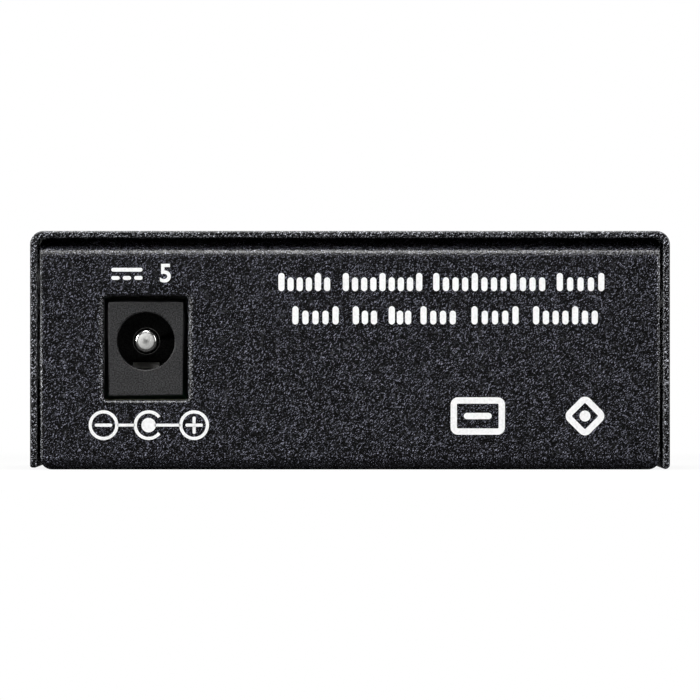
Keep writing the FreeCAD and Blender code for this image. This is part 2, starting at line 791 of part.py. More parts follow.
def dc_jack_center_pin():
    """Pin with a domed, round-rimmed end, a shoulder on the bore's floor and a riveted shank."""
    tip = jack_face + centre_pin_tip_recess
    rim = centre_pin_radius - centre_pin_tip_round
    half_angle = math.asin(rim / centre_pin_tip_dome) / 2
    dome_end = tip + centre_pin_tip_dome * (1 - math.cos(2 * half_angle))
    side_start = dome_end + centre_pin_tip_round
    corner = centre_pin_tip_round * math.sqrt(0.5)
    place = lambda y, r: Vector(jack_x, y, jack_axis + r)
    dome = Part.Arc(place(tip, 0),
                    place(tip + centre_pin_tip_dome * (1 - math.cos(half_angle)),
                          centre_pin_tip_dome * math.sin(half_angle)),
                    place(dome_end, rim)).toShape()
    rounded_rim = Part.Arc(place(dome_end, rim), place(side_start - corner, rim + corner),
                           place(side_start, centre_pin_radius)).toShape()
    shoulder = jack_floor - centre_pin_shoulder_length
    slope = centre_pin_shoulder_radius - centre_pin_shoulder_rim - centre_pin_radius
    outline = [
        place(side_start, centre_pin_radius),
        place(shoulder, centre_pin_radius),
        place(shoulder + slope, centre_pin_radius + slope),
        place(shoulder + slope, centre_pin_shoulder_radius),
        place(jack_floor, centre_pin_shoulder_radius),
        place(jack_floor, centre_pin_shank_radius),
        place(jack_back, centre_pin_shank_radius),
        place(jack_back, 0),
        place(tip, 0),
    ]
    edges = [dome, rounded_rim] + [Part.makeLine(a, b) for a, b in zip(outline, outline[1:])]
    return turned(Part.Wire(edges), Vector(jack_x, 0, jack_axis), Vector(0, 1, 0))


def dc_jack_pin_terminal():
    """Flat tag behind the housing that takes the pin's current to the board."""
    return block(jack_x - tag_width / 2, jack_x + tag_width / 2, jack_back, jack_back + tag_thickness,
                 tag_bottom, jack_axis + centre_pin_shoulder_radius)


def leaf_line():
    """The leaf's middle line, from its front lip over the crest to the foot of its tag."""
    crest = spring_top - spring_crest_play - spring_thickness / 2
    return [
        (jack_face + spring_lip_setback, crest - spring_lip_drop),
        (jack_face + spring_crest_setback, crest),
        (spring_heel_y, board_top + spring_foot_rise),
        (spring_heel_y, tag_bottom),
    ]


def dc_jack_sleeve_spring():
    """Arched leaf that presses on the plug's sleeve, with its tag through the board."""
    leaf = strip("YZ", jack_x - spring_width / 2, jack_x + spring_width / 2, leaf_line(),
                 spring_thickness, spring_bend)
    necks = [block(min(x, x + side * spring_width), max(x, x + side * spring_width), spring_heel_y - 1,
                   spring_heel_y + 1, tag_bottom - 1, board_top)
             for side in (-1, 1) for x in [jack_x + side * tag_width / 2]]
    return leaf.cut(group(necks))


def dc_jack_switch_contact():
    """Upright contact that the leaf leaves when a plug pushes it down."""
    (crest_y, crest), (heel_y, foot) = leaf_line()[1:3]
    under_leaf = crest + (switch_y - crest_y) * (foot - crest) / (heel_y - crest_y) - spring_thickness
    return block(jack_x - tag_width / 2, jack_x + tag_width / 2, switch_y - tag_thickness / 2,
                 switch_y + tag_thickness / 2, tag_bottom, under_leaf - switch_gap)


# ---------------------------------------------------------------- network socket
def shield_finger(side):
    """Spring finger bent out of a side wall, and the window it leaves."""
    wall = socket_x + side * (socket_width - shield_sheet) / 2
    tip = socket_face - shield_finger_setback
    root = tip - shield_finger_length
    middle = board_top + socket_height * shield_finger_share
    half = shield_finger_width / 2
    window = block(wall - shield_sheet, wall + shield_sheet, root, tip + shield_sheet,
                   middle - half - shield_sheet, middle + half + shield_sheet)
    bump = (wall + side * shield_finger_spring, tip - shield_finger_length / 4)
    line = [(wall, root - shield_sheet), (wall, root), bump, (wall, tip)]
    finger = strip("XY", middle - half, middle + half, line, shield_sheet, shield_sheet)
    return window, finger


def rj45_shield():
    """Thin steel box, open in front and below, with two spring fingers and two board tabs."""
    left, right = socket_x - socket_width / 2, socket_x + socket_width / 2
    outer = block(left, right, socket_back, socket_face, board_top, socket_top)
    outer = soften(outer, 2 * shield_sheet, lambda e: lies_at(e, "z", socket_top) and runs_along_y(e))
    inner = block(left + shield_sheet, right - shield_sheet, socket_back + shield_sheet, socket_face + 1,
                  board_top - 1, socket_top - shield_sheet)
    shield = outer.cut(inner)
    for side in (-1, 1):
        window, finger = shield_finger(side)
        shield = shield.cut(window).fuse(finger)
    tabs = [block(x - shield_sheet / 2, x + shield_sheet / 2, shield_tab_y - shield_tab_width / 2,
                  shield_tab_y + shield_tab_width / 2, tag_bottom, board_top + 1) for x in shield_tab_xs]
    return join([shield] + tabs)


def rj45_housing():
    """Moulded insert with the plug's mouth, latch notch, wire comb and two board pegs."""
    play = shield_sheet + shield_play
    back = socket_back + play
    top = socket_top - play
    ahead = socket_face + 1
    over_wires = contact_top - contact_thickness
    latch_floor = mouth_floor - latch_notch_height
    channel = contact_pitch * contact_count + 2 * contact_channel_play
    centred = lambda width, y0, y1, z0, z1: block(socket_x - width / 2, socket_x + width / 2, y0, y1, z0, z1)
    body = centred(socket_width - 2 * play, back, socket_face, board_top, top)
    body = soften(body, 2 * shield_sheet, lambda e: lies_at(e, "z", top) and runs_along_y(e))
    body = body.cut(join([
        centred(socket_mouth_width, mouth_back, ahead, mouth_floor, mouth_top),
        centred(latch_notch_width, mouth_back, ahead, latch_floor, mouth_floor + 1),
        centred(latch_key_width, mouth_back, ahead, latch_floor - latch_key_height, mouth_floor + 1),
        centred(channel, mouth_back, socket_face - socket_lip, mouth_top - 1, top + 1),
        centred(channel, back - 1, mouth_back + 1, over_wires, top + 1),
        centred(channel, back - 1, contact_heel + contact_thickness, board_top - 1, top + 1),
    ]))
    rib = contact_pitch - contact_width - lead_play
    for x in contact_xs[:-1]:
        middle = x + contact_pitch / 2
        body = body.fuse(block(middle - rib / 2, middle + rib / 2, mouth_back - 0.5, mouth_back + comb_reach,
                               mouth_top - contact_dip - comb_drop, over_wires))
    pegs = [upright(x, socket_peg_y, socket_peg_radius, tag_bottom, board_top + peg_bury)
            for x in socket_peg_xs]
    return join([body] + pegs)


def rj45_contact(x):
    """Spring wire: up from the board, over the top, and back down into the mouth."""
    line = [
        (contact_heel, tag_bottom),
        (contact_heel, contact_top),
        (socket_face - contact_nose_setback, contact_top),
        (mouth_back + contact_end_reach, mouth_top - contact_dip),
    ]
    return strip("YZ", x - contact_width / 2, x + contact_width / 2, line, contact_thickness, contact_bend)


# ---------------------------------------------------------------- optical transceiver
def port_cavity(x):
    """Room for one plug, with its key slot."""
    cavity = slab("XZ", port_wall, optic_face + 1, rectangle(
        x - port_width / 2, x + port_width / 2,
        port_axis - port_height / 2, port_axis + port_height / 2, port_corner))
    key = block(x - key_slot_width / 2, x + key_slot_width / 2, optic_face - key_slot_depth, optic_face + 1,
                port_axis, port_axis + port_height / 2 + key_slot_height)
    return cavity.fuse(key)


def latch_arm(x, side):
    """Flexible arm with a hook at its tip that holds one side of the plug."""
    inner = x + side * latch_arm_offset
    outer = inner + side * latch_arm_thickness
    hooked = inner - side * latch_hook
    tip = port_wall + latch_arm_length
    corners = [
        (inner, port_wall - latch_arm_thickness, 0),
        (outer, port_wall - latch_arm_thickness, 0),
        (outer, tip, 0),
        (hooked, tip - latch_hook_length / 2, 0),
        (hooked, tip - latch_hook_length * 3 / 4, 0),
        (inner, tip - latch_hook_length, 0),
    ]
    return slab("XY", port_axis - latch_arm_width / 2, port_axis + latch_arm_width / 2, corners)


def transceiver_housing():
    """Moulded duplex body: two plug ports, latch arms, sleeve seats and two board pegs."""
    left, right = optic_x - optic_width / 2, optic_x + optic_width / 2
    top = board_top + optic_height
    body = block(left, right, optic_back, optic_face, board_top, top)
    body = bevel(body, optic_bevel, lambda e: lies_at(e, "y", optic_face))
    for x0, x1 in ((left, left + optic_waist), (right - optic_waist, right)):
        body = body.cut(block(x0, x1, optic_back - 1, port_wall - optic_waist,
                              board_top + optic_skirt, top + 1))
    for x in port_xs:
        seat = rod(sleeve_radius + rivet_play, Vector(x, port_wall - sleeve_seat, port_axis),
                   Vector(x, port_wall + 1, port_axis))
        body = body.cut(port_cavity(x).fuse(seat))
    arms = [latch_arm(x, side) for x in port_xs for side in (-1, 1)]
    pegs = [upright(x, optic_peg_y, optic_peg_radius, tag_bottom, board_top + peg_bury)
            for x in optic_peg_xs]
    return join([body] + arms + pegs)


def ferrule_sleeve(x):
    """Bored barrel that lines up the fibre's ferrule."""
    front = port_wall + sleeve_reach
    back = port_wall - sleeve_seat
    at = lambda y: Vector(x, y, port_axis)
    barrel = rod(sleeve_radius, at(back), at(front))
    barrel = bevel(barrel, sleeve_mouth_bevel, lambda e: lies_at(e, "y", front))
    return barrel.cut(rod(sleeve_bore_radius, at(back + sleeve_floor), at(front + 1)))


def transceiver_pins():
    half = optic_pin_side / 2
    return group(block(x - half, x + half, optic_pin_y - half, optic_pin_y + half, tag_bottom, board_top)
                 for x in optic_pin_xs)


# ---------------------------------------------------------------- indicator lamps


def lamp_lead_places():
    return [(x + side * lamp_lead_spacing / 2, y) for x in lamp_xs for side in (-1, 1) for y in lamp_lead_ys]


def led_holder(x):
    """Black block that carries two lamps, one over the other."""
    body = block(x - lamp_holder_width / 2, x + lamp_holder_width / 2, lamp_back, lamp_face,
                 board_top, board_top + lamp_holder_height)
    for z in lamp_zs:
        barrel = rod(lamp_radius + lamp_holder_play, Vector(x, lamp_back - 1, z), Vector(x, lamp_face + 1, z))
        pocket = rod(lamp_flange_radius + lamp_holder_play, Vector(x, lamp_back - 1, z),
                     Vector(x, lamp_flange_face, z))
        body = body.cut(barrel.fuse(pocket))
    return body


def led_lamp(x, row):
    """Domed lamp with its flange and two leads bent down to the board."""
    z = lamp_zs[row]
    lens = rod(lamp_radius, Vector(x, lamp_flange_face - lamp_flange_length, z), Vector(x, lamp_face, z))
    dome = Part.makeSphere(lamp_radius, Vector(x, lamp_face, z))
    flange = rod(lamp_flange_radius, Vector(x, lamp_flange_face - lamp_flange_length, z),
                 Vector(x, lamp_flange_face, z))
    lead_y = lamp_lead_ys[row]
    leads = []
    for side in (-1, 1):
        lead_x = x + side * lamp_lead_spacing / 2
        start = lamp_flange_face - lamp_flange_length + lamp_lead_bury
        line = [(start, z), (lead_y, z), (lead_y, tag_bottom)]
        leads.append(strip("YZ", lead_x - lamp_lead / 2, lead_x + lamp_lead / 2, line, lamp_lead))
    return join([lens, dome, flange] + leads)


# ---------------------------------------------------------------- parts soldered on the board
def gull_lead(y_body, foot_y, middle_z, x, width, thickness):
    """One formed lead beside a body whose side lies at y_body."""
    foot = board_top + thickness / 2
    knee = (y_body + foot_y) / 2
    buried = y_body - math.copysign(lead_bury, foot_y - y_body)
    line = [(buried, middle_z), (knee, middle_z), (knee, foot), (foot_y, foot)]
    return strip("YZ", x - width / 2, x + width / 2, line, thickness)


def leaded_sides(x, y, half, middle_z, count, pitch, width, thickness, reach):
    """Leads along the two long sides of a body centred at (x, y)."""
    made = []
    for i in range(count):
        lead_x = x + (i - (count - 1) / 2) * pitch
        for side in (-1, 1):
            body_y, foot_y = y + side * half, y + side * (half + reach)
            made.append(gull_lead(body_y, foot_y, middle_z, lead_x, width, thickness))
    return made


def package(x, y, half_x, half_y, height, edge):
    """Moulded body just above the board, with its top edges bevelled."""
    base = board_top + package_standoff
    body = block(x - half_x, x + half_x, y - half_y, y + half_y, base, base + height)
    return bevel(body, edge, lambda e: lies_at(e, "z", base + height))


def converter_chip():
    """Flat square package with leads on all four sides."""
    half = chip_side / 2
    base = board_top + package_standoff
    body = package(chip_x, chip_y, half, half, chip_height, chip_bevel)
    leads = leaded_sides(chip_x, chip_y, half, base + chip_height / 2, chip_leads_per_side, chip_lead_pitch,
                         chip_lead_width, chip_lead_thickness, chip_lead_reach)
    turned_leads = [lead.copy() for lead in leads]
    for lead in turned_leads:
        lead.rotate(Vector(chip_x, chip_y, 0), Vector(0, 0, 1), 90)
    mark = Vector(chip_x - half + chip_mark_inset, chip_y - half + chip_mark_inset, base + chip_height)
    dimple = rod(chip_mark_radius, mark - Vector(0, 0, package_standoff), mark + Vector(0, 0, 1))
    return join([body] + leads + turned_leads).cut(dimple)


def lan_transformer():
    """Isolation coils moulded in one block, behind the network socket."""
    body = package(coil_box_x, coil_box_y, coil_box_length / 2, coil_box_width / 2, coil_box_height,
                   coil_box_bevel)
    leads = leaded_sides(coil_box_x, coil_box_y, coil_box_width / 2, board_top + coil_box_height / 3,
                         coil_box_leads_per_side, coil_box_lead_pitch, coil_box_lead_width,
                         coil_box_lead_thickness, coil_box_lead_reach)
    return join([body] + leads)


def crystal():
    """Drawn metal can on its rim."""
    half_x, half_y = crystal_length / 2, crystal_width / 2
    top = board_top + crystal_height
    stadium = lambda spread: rectangle(
        crystal_x - half_x - spread, crystal_x + half_x + spread,
        crystal_y - half_y - spread, crystal_y + half_y + spread, (half_y + spread) * 0.98)
    rim = slab("XY", board_top, board_top + crystal_rim, stadium(crystal_rim))
    can = bevel(slab("XY", board_top, top, stadium(0)), crystal_bevel, lambda e: lies_at(e, "z", top))
    return join([rim, can])


def capacitor(x):
    """Upright electrolytic can with its rolled groove near the board."""
    groove = board_top + capacitor_groove_height
    top = board_top + capacitor_height
    place = lambda r, z: Vector(x + r, capacitor_y, z)
    outline = line_wire([
        place(0, board_top),
        place(capacitor_radius, board_top),
        place(capacitor_radius, groove - capacitor_groove),
        place(capacitor_radius - capacitor_groove, groove),
        place(capacitor_radius, groove + capacitor_groove),
        place(capacitor_radius, top - capacitor_rim),
        place(capacitor_radius - capacitor_rim, top),
        place(0, top),
    ])
    return turned(outline, Vector(x, capacitor_y, 0), Vector(0, 0, 1))


def power_inductor():
    """Square ferrite block around a round winding."""
    half = choke_side / 2
    top = board_top + choke_height
    at = lambda z: Vector(choke_x, choke_y, z)
    body = slab("XY", board_top, top, rectangle(
        choke_x - half, choke_x + half, choke_y - half, choke_y + half, choke_corner))
    ring = rod(choke_ring_radius, at(top - choke_ring_depth), at(top + 1))
    core = rod(choke_core_radius, at(board_top), at(top))
    return join([body.cut(ring), core])


def voltage_regulator():
    """Three-legged package with its wide heat tab."""
    half = regulator_width / 2
    body = package(regulator_x, regulator_y, regulator_length / 2, half, regulator_height, chip_bevel)
    middle = board_top + regulator_height / 2
    foot = half + regulator_lead_reach
    legs = [gull_lead(regulator_y - half, regulator_y - foot, middle, regulator_x + i * regulator_leg_pitch,
                      regulator_leg_width, regulator_lead_thickness) for i in (-1, 0, 1)]
    tab = gull_lead(regulator_y + half, regulator_y + foot, middle, regulator_x, regulator_tab_width,
                    regulator_lead_thickness)
    return join([body, tab] + legs)


def chip_resistors():
    """Rows of small surface-mount resistors and capacitors."""
    made = []
    for anchor_x, anchor_y in resistor_anchors:
        y = anchor_y - resistor_row_gap
        for i in range(resistors_per_row):
            x = anchor_x + (i - (resistors_per_row - 1) / 2) * resistor_pitch
            made.append(block(x - resistor_width / 2, x + resistor_width / 2, y - resistor_length / 2,
                              y + resistor_length / 2, board_top, board_top + resistor_height))
    return group(made)


# ---------------------------------------------------------------- the whole converter
def pieces():
    made = {
        "base_tray": base_tray(),
        "top_cover": top_cover(),
        "cover_screws": cover_screws(),
        "board_standoffs": board_standoffs(),
        "circuit_board": circuit_board(),
        "board_screws": board_screws(),
        "dc_jack_housing": dc_jack_housing(),
        "dc_jack_center_pin": dc_jack_center_pin(),
        "dc_jack_pin_terminal": dc_jack_pin_terminal(),
        "dc_jack_sleeve_spring": dc_jack_sleeve_spring(),
        "dc_jack_switch_contact": dc_jack_switch_contact(),
        "rj45_shield": rj45_shield(),
        "rj45_housing": rj45_housing(),
        "transceiver_housing": transceiver_housing(),
        "receive_ferrule_sleeve": ferrule_sleeve(port_xs[0]),
        "transmit_ferrule_sleeve": ferrule_sleeve(port_xs[1]),
        "transceiver_pins": transceiver_pins(),
        "converter_chip": converter_chip(),
        "lan_transformer": lan_transformer(),
        "crystal": crystal(),
        "power_inductor": power_inductor(),
        "voltage_regulator": voltage_regulator(),
        "chip_resistors": chip_resistors(),
    }
    for i, x in enumerate(contact_xs, 1):
        made[f"rj45_contact_{i}"] = rj45_contact(x)
    for i, x in enumerate(lamp_xs, 1):
        made[f"led_holder_{i}"] = led_holder(x)
        made[f"led_lower_{i}"] = led_lamp(x, 0)
        made[f"led_upper_{i}"] = led_lamp(x, 1)
    for i, x in enumerate(capacitor_xs, 1):
        made[f"capacitor_{i}"] = capacitor(x)
    return made


def main():
    os.makedirs("parts", exist_ok=True)
    for name, shape in pieces().items():
        shape.exportStep(f"parts/{name}.step")


main()
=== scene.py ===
"""Looks for a fibre media converter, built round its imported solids.

The file is laid out as an add-on. Property groups hold the sizes and colours, and each operator
dresses or makes one group of pieces. Lengths are in metres. The power panel faces -Y, the network
panel faces +Y, and the floor is at Z = 0.
"""

import math

import bmesh
import bpy
from bpy.props import FloatProperty, FloatVectorProperty, PointerProperty
from mathutils import Matrix, Vector

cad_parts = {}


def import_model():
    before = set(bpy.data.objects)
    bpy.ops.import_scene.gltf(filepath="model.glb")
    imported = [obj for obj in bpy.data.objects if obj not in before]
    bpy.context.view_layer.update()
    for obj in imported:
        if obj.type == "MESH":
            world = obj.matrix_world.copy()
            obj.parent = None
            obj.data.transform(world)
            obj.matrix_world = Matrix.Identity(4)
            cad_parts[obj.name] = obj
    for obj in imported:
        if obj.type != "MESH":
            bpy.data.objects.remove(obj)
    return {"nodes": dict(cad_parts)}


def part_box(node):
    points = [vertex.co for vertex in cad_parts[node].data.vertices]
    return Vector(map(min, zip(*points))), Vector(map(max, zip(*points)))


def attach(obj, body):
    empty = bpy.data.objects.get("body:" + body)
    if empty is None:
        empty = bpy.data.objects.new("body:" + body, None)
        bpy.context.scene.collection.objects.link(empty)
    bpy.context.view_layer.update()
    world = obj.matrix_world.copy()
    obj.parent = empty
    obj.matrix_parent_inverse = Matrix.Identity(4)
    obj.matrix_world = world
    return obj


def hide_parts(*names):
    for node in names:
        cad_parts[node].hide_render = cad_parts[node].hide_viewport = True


bl_info = {
    "name": "Fibre media converter",
    "version": (1, 0, 0),
    "blender": (4, 5, 0),
    "location": "3D View > Sidebar > Converter",
    "description": "Dresses the solids of a fibre media converter and sets up its studio",
    "category": "Object",
}

MM = 0.001
MERGE = 0.0005 * MM            # points closer than this become one
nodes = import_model()["nodes"]
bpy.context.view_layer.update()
panel_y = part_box("base_tray")[0].y
jack_low, jack_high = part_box("dc_jack_housing")


# ---------------------------------------------------------------- sizes and colours
def colour(name, description, default):
    return FloatVectorProperty(name=name, description=description, subtype="COLOR", size=3,
                               min=0.0, max=1.0, default=default)


def length(name, description, default):
    return FloatProperty(name=name, description=description, subtype="DISTANCE", unit="LENGTH",
                         min=0.0, precision=5, default=default)


def share(name, description, default, top=1.0):
    return FloatProperty(name=name, description=description, subtype="FACTOR", min=0.0, max=top,
                         default=default)


def brightness(name, description, default):
    return FloatProperty(name=name, description=description, min=0.0, default=default)


class ConverterFinishes(bpy.types.PropertyGroup):
    """Colours and surface grain of the converter's pieces."""

    paint: colour("Powder coat", "Textured paint on the case", (0.0050, 0.0051, 0.0064))
    paint_grain: length("Paint grain", "Width of the bumps in the paint", 0.22 * MM)
    paint_relief: length("Paint relief", "Depth of the bumps in the paint", 0.025 * MM)
    paint_roughness: share("Paint roughness", "Roughness of the paint's skin", 0.24)
    ink: colour("Ink", "Screen-printed marks", (0.92, 0.92, 0.92))
    jack: colour("Jack moulding", "Black moulding of the power jack", (0.030, 0.030, 0.031))
    moulding: colour("Connector moulding", "Black moulding of the sockets", (0.024, 0.024, 0.025))
    nickel: colour("Bright nickel", "Plating of the power pin", (0.95, 0.95, 0.93))
    tin: colour("Tinned metal", "Leads, tags and springs", (0.66, 0.65, 0.61))
    shield: colour("Shield sheet", "Plated sheet round the network socket", (0.68, 0.68, 0.67))
    gold: colour("Gold flash", "Contact wires", (0.86, 0.62, 0.26))
    board: colour("Solder mask", "Circuit board", (0.020, 0.150, 0.065))
    epoxy: colour("Epoxy", "Moulded chips", (0.022, 0.022, 0.023))
    lens: colour("Lamp lens", "Tinted lamp epoxy", (0.30, 0.56, 0.24))
    sleeve: colour("Capacitor sleeve", "Shrunk film on the capacitors", (0.018, 0.026, 0.080))


class ConverterPrint(bpy.types.PropertyGroup):
    """Sizes of the marks printed on the power panel."""

    film: length("Ink film", "How far the ink stands proud of the paint", 0.03 * MM)
    stroke: length("Stroke", "Width of the lines in the polarity symbol", 0.35 * MM)
    ring: length("Ring radius", "Outer radius of the symbol's rings", 1.63 * MM)
    dot: length("Dot radius", "Radius of the centre contact's dot", 0.79 * MM)
    sign: length("Sign length", "Length of the plus and minus bars", 1.92 * MM)
    symbol_height: length("Symbol height", "Height of the polarity symbol above the floor", 4.85 * MM)
    word_height: length("Word height", "Height of the tallest blocks in place of words", 2.0 * MM)
    block_width: length("Block width", "Width of one block", 0.68 * MM)
    block_pitch: length("Block pitch", "Spacing of the blocks in a word", 1.06 * MM)


class ConverterStage(bpy.types.PropertyGroup):
    """Camera and light levels."""

    camera_distance: length("Camera distance", "From the power panel to the camera", 3.0)
    camera_height: length("Camera height", "Height of the level camera above the floor", 13.07 * MM)
    view_width: length("View width", "Width seen at the power panel", 76.56 * MM)
    overhead: brightness("Overhead light", "Brightness of the light above", 12.1)
    side: brightness("Side lights", "Brightness of the two boxes at the sides", 9.3)
    rear: brightness("Rear light", "Brightness of the light behind", 2.0)
    front: brightness("Front card", "Brightness of the card behind the camera", 0.1)
    surround: share("Surround", "Brightness of the room round the object", 0.07, 2.0)
    floor_share: share("Floor shading", "How much of the floor's own light and shade is seen", 0.12)


# ---------------------------------------------------------------- finishes
class Signal:
    """A value from a shader node that takes part in sums: each one adds its Math node."""

    def __init__(self, finish, socket):
        self.finish, self.socket = finish, socket

    def maths(self, operation, first, second):
        made = self.finish.node("ShaderNodeMath", {"operation": operation}, {0: first, 1: second})
        return Signal(self.finish, made.outputs[0])

    def __add__(self, other):
        return self.maths("ADD", self, other)

    def __radd__(self, other):
        return self.maths("ADD", other, self)

    def __sub__(self, other):
        return self.maths("SUBTRACT", self, other)

    def __rsub__(self, other):
        return self.maths("SUBTRACT", other, self)

    def __mul__(self, other):
        return self.maths("MULTIPLY", self, other)

    def __rmul__(self, other):
        return self.maths("MULTIPLY", other, self)

    def __lt__(self, other):
        return self.maths("LESS_THAN", self, other)

    def rising(self, low, high):
        """0 below low, 1 above high, and a smooth rise between."""
        made = self.finish.node("ShaderNodeMapRange", {"interpolation_type": "SMOOTHSTEP"},
                                {"Value": self, "From Min": low, "From Max": high})
        return Signal(self.finish, made.outputs["Result"])


class Finish:
    """One procedural material, with one way to add nodes and feed sockets."""

    def __init__(self, name, base, roughness, metallic=0.0, **constants):
        self.material = bpy.data.materials.new(name)
        self.material.use_nodes = True
        self.tree = self.material.node_tree
        self.shader = self.tree.nodes["Principled BSDF"]
        self.base = tuple(base)
        self.set("Base Color", (*base, 1.0))
        self.set("Roughness", roughness)
        self.set("Metallic", metallic)
        for socket, value in constants.items():
            self.set(socket.replace("_", " "), value)
        self.place = self.node("ShaderNodeTexCoord").outputs["Object"]

    def feed(self, socket, value):
        """Links a socket or a signal to an input, or sets the input to a constant."""
        if isinstance(value, Signal):
            value = value.socket
        if isinstance(value, bpy.types.NodeSocket):
            self.tree.links.new(value, socket)
        else:
            socket.default_value = value

    def set(self, socket, value):
        self.feed(self.shader.inputs[socket], value)

    def node(self, kind, settings=None, inputs=None):
        """A new node with its settings and its inputs, which go by index, identifier or name."""
        made = self.tree.nodes.new(kind)
        for key, value in (settings or {}).items():
            setattr(made, key, value)
        for key, value in (inputs or {}).items():
            if isinstance(key, int):
                socket = made.inputs[key]
            else:
                socket = next(s for s in made.inputs if key in (s.identifier, s.name))
            self.feed(socket, value)
        return made

    def stretched(self, along, turn=(0.0, 0.0, 0.0)):
        """Object coordinates scaled by a factor on each axis, for streaks."""
        return self.node("ShaderNodeMapping", None,
                         {"Vector": self.place, "Scale": along, "Rotation": turn}).outputs["Vector"]

    def noise(self, width, detail=2.0, roughness=0.5, vector=None):
        """Cloudy noise, 0 to 1, whose blobs are about this wide."""
        made = self.node("ShaderNodeTexNoise", None, {
            "Vector": self.place if vector is None else vector,
            "Scale": 1.0 / width, "Detail": detail, "Roughness": roughness})
        return Signal(self, made.outputs["Fac"])

    def mix(self, factor, first, second):
        """Colour between two colours or sockets."""
        pad = lambda c: (*c, 1.0) if isinstance(c, tuple) and len(c) == 3 else c
        made = self.node("ShaderNodeMix", {"data_type": "RGBA"}, {
            "Factor_Float": factor, "A_Color": pad(first), "B_Color": pad(second)})
        return next(o for o in made.outputs if o.identifier == "Result_Color")

    def shaded(self, factor, low, high):
        """The base colour scaled between two levels."""
        scaled = lambda level: tuple(min(1.0, c * level) for c in self.base)
        return self.mix(factor, scaled(low), scaled(high))

    def bump(self, height, depth):
        relief = self.node("ShaderNodeBump", None, {"Height": height, "Distance": depth})
        self.set("Normal", relief.outputs["Normal"])


def powder_coat(finishes, name="powder coat", level=1.0):
    """Textured powder paint: fine grains in black, with a slower orange peel under them, and pale
    specks painted into its colour as painted glints.
    """
    base = [level * part for part in finishes.paint]
    made = Finish(name, base, finishes.paint_roughness, Specular_IOR_Level=0.5)
    grain = finishes.paint_grain
    grains = made.noise(grain, 1.0, 0.5).rising(0.30, 0.72)
    peel = made.noise(grain * 3.5, 1.0, 0.4)
    made.bump(grains + peel * 0.8, finishes.paint_relief)
    slanted = made.node("ShaderNodeMapping", {"vector_type": "TEXTURE"}, {
        "Vector": made.place, "Rotation": (0.0, -math.pi / 4, 0.0), "Scale": (1.7, 1.0, 0.9)})
    painted_glints = made.noise(grain * 0.46, 1.0, 0.6, slanted.outputs["Vector"]).rising(0.49, 0.77)
    # Painted glints: pale specks in the base colour stand in for light caught by the paint's grains.
    made.set("Base Color", made.shaded(painted_glints * painted_glints, 0.05, 63.0))
    made.set("Roughness", finishes.paint_roughness + 0.22 * (peel - 0.5))
    return made.material


def screen_ink(finishes):
    """White ink that takes a little of the paint's texture."""
    made = Finish("screen ink", finishes.ink, 0.55, Specular_IOR_Level=0.3)
    grain = made.noise(finishes.paint_grain, 1.5, 0.5)
    made.bump(grain, finishes.paint_relief * 0.15)
    made.set("Base Color", made.shaded(grain.rising(0.25, 0.6), 0.93, 1.06))
    return made.material


def moulding(name, base, roughness=0.5, grain=0.14 * MM, relief=0.012 * MM, specular=0.35,
             mottle=0.3):
    """Spark-textured black plastic, paler on its grains by the mottle."""
    made = Finish(name, base, roughness, Specular_IOR_Level=specular)
    texture = made.noise(grain, 1.5, 0.6)
    cloud = made.noise(grain * 14, 2.0)
    made.bump(texture, relief)
    pale = texture.rising(0.35, 0.65) * 0.8 + cloud * 0.2
    made.set("Base Color", made.shaded(pale, 1.0 - mottle, 1.0 + mottle))
    made.set("Roughness", roughness + 0.16 * (cloud - 0.5))
    return made.material


def metal(name, base, roughness=0.3, streaks=(1.0, 1.0, 1.0), streak_width=0.08 * MM,
          relief=0.002 * MM, tarnish=0.25):
    """Plated or brushed metal, with streaks along the axis that has the smallest factor."""
    made = Finish(name, base, roughness, 1.0)
    lines = made.noise(streak_width, 2.0, 0.6, made.stretched(streaks))
    film = made.noise(streak_width * 22, 2.0)
    made.bump(lines, relief)
    made.set("Base Color", made.shaded(film.rising(0.2, 0.8), 1.0 - tarnish, 1.0 + tarnish * 0.3))
    made.set("Roughness", roughness + 0.18 * (lines - 0.5) + 0.12 * (film - 0.5))
    return made.material


def turned_pin(finishes, low, high):
    """Bright nickel, matt in the middle of the pin's end and polished round it, where its colour is
    darkened as painted shade.
    """
    made = Finish("bright nickel", finishes.nickel, 0.5, 1.0)
    axis = ((low.x + high.x) / 2, 0.0, (low.z + high.z) / 2)
    radius = (high.x - low.x) / 2
    reach = made.node("ShaderNodeVectorMath", {"operation": "DISTANCE"}, {
        0: made.stretched((1.0, 0.0, 1.0)), 1: axis})
    polished_and_shaded = Signal(made, reach.outputs["Value"]).rising(radius * 0.55, radius * 0.68)
    film = made.noise(0.2 * MM, 2.0)
    # Painted shade: the polished ring's colour is turned down to 0.8 of the nickel.
    made.set("Base Color", made.shaded(polished_and_shaded, 1.0, 0.8))
    made.set("Roughness", 0.48 - 0.36 * polished_and_shaded + 0.08 * film)
    return made.material


def solder_mask(finishes):
    """Green lacquer over etched tracks, which show as raised, lighter lines."""
    made = Finish("solder mask", finishes.board, 0.32, Specular_IOR_Level=0.5,
                  Coat_Weight=0.4, Coat_Roughness=0.15)

    def tracks(pitch, turn):
        brick = made.node("ShaderNodeTexBrick", None, {
            "Vector": made.stretched((1.0, 1.0, 0.0), (0.0, 0.0, turn)), "Scale": 1.0 / pitch,
            "Mortar Size": 0.045, "Mortar Smooth": 0.2, "Brick Width": 3.1, "Row Height": 0.5})
        return Signal(made, brick.outputs["Fac"])

    along, across = tracks(2.4 * MM, 0.0), tracks(5.6 * MM, math.pi / 2)
    lines = along.maths("MAXIMUM", along, across)
    weave = made.noise(0.5 * MM, 1.0)
    made.bump(lines, 0.03 * MM)
    made.set("Base Color", made.shaded(lines * 0.6 + weave * 0.3, 0.75, 1.6))
    return made.material


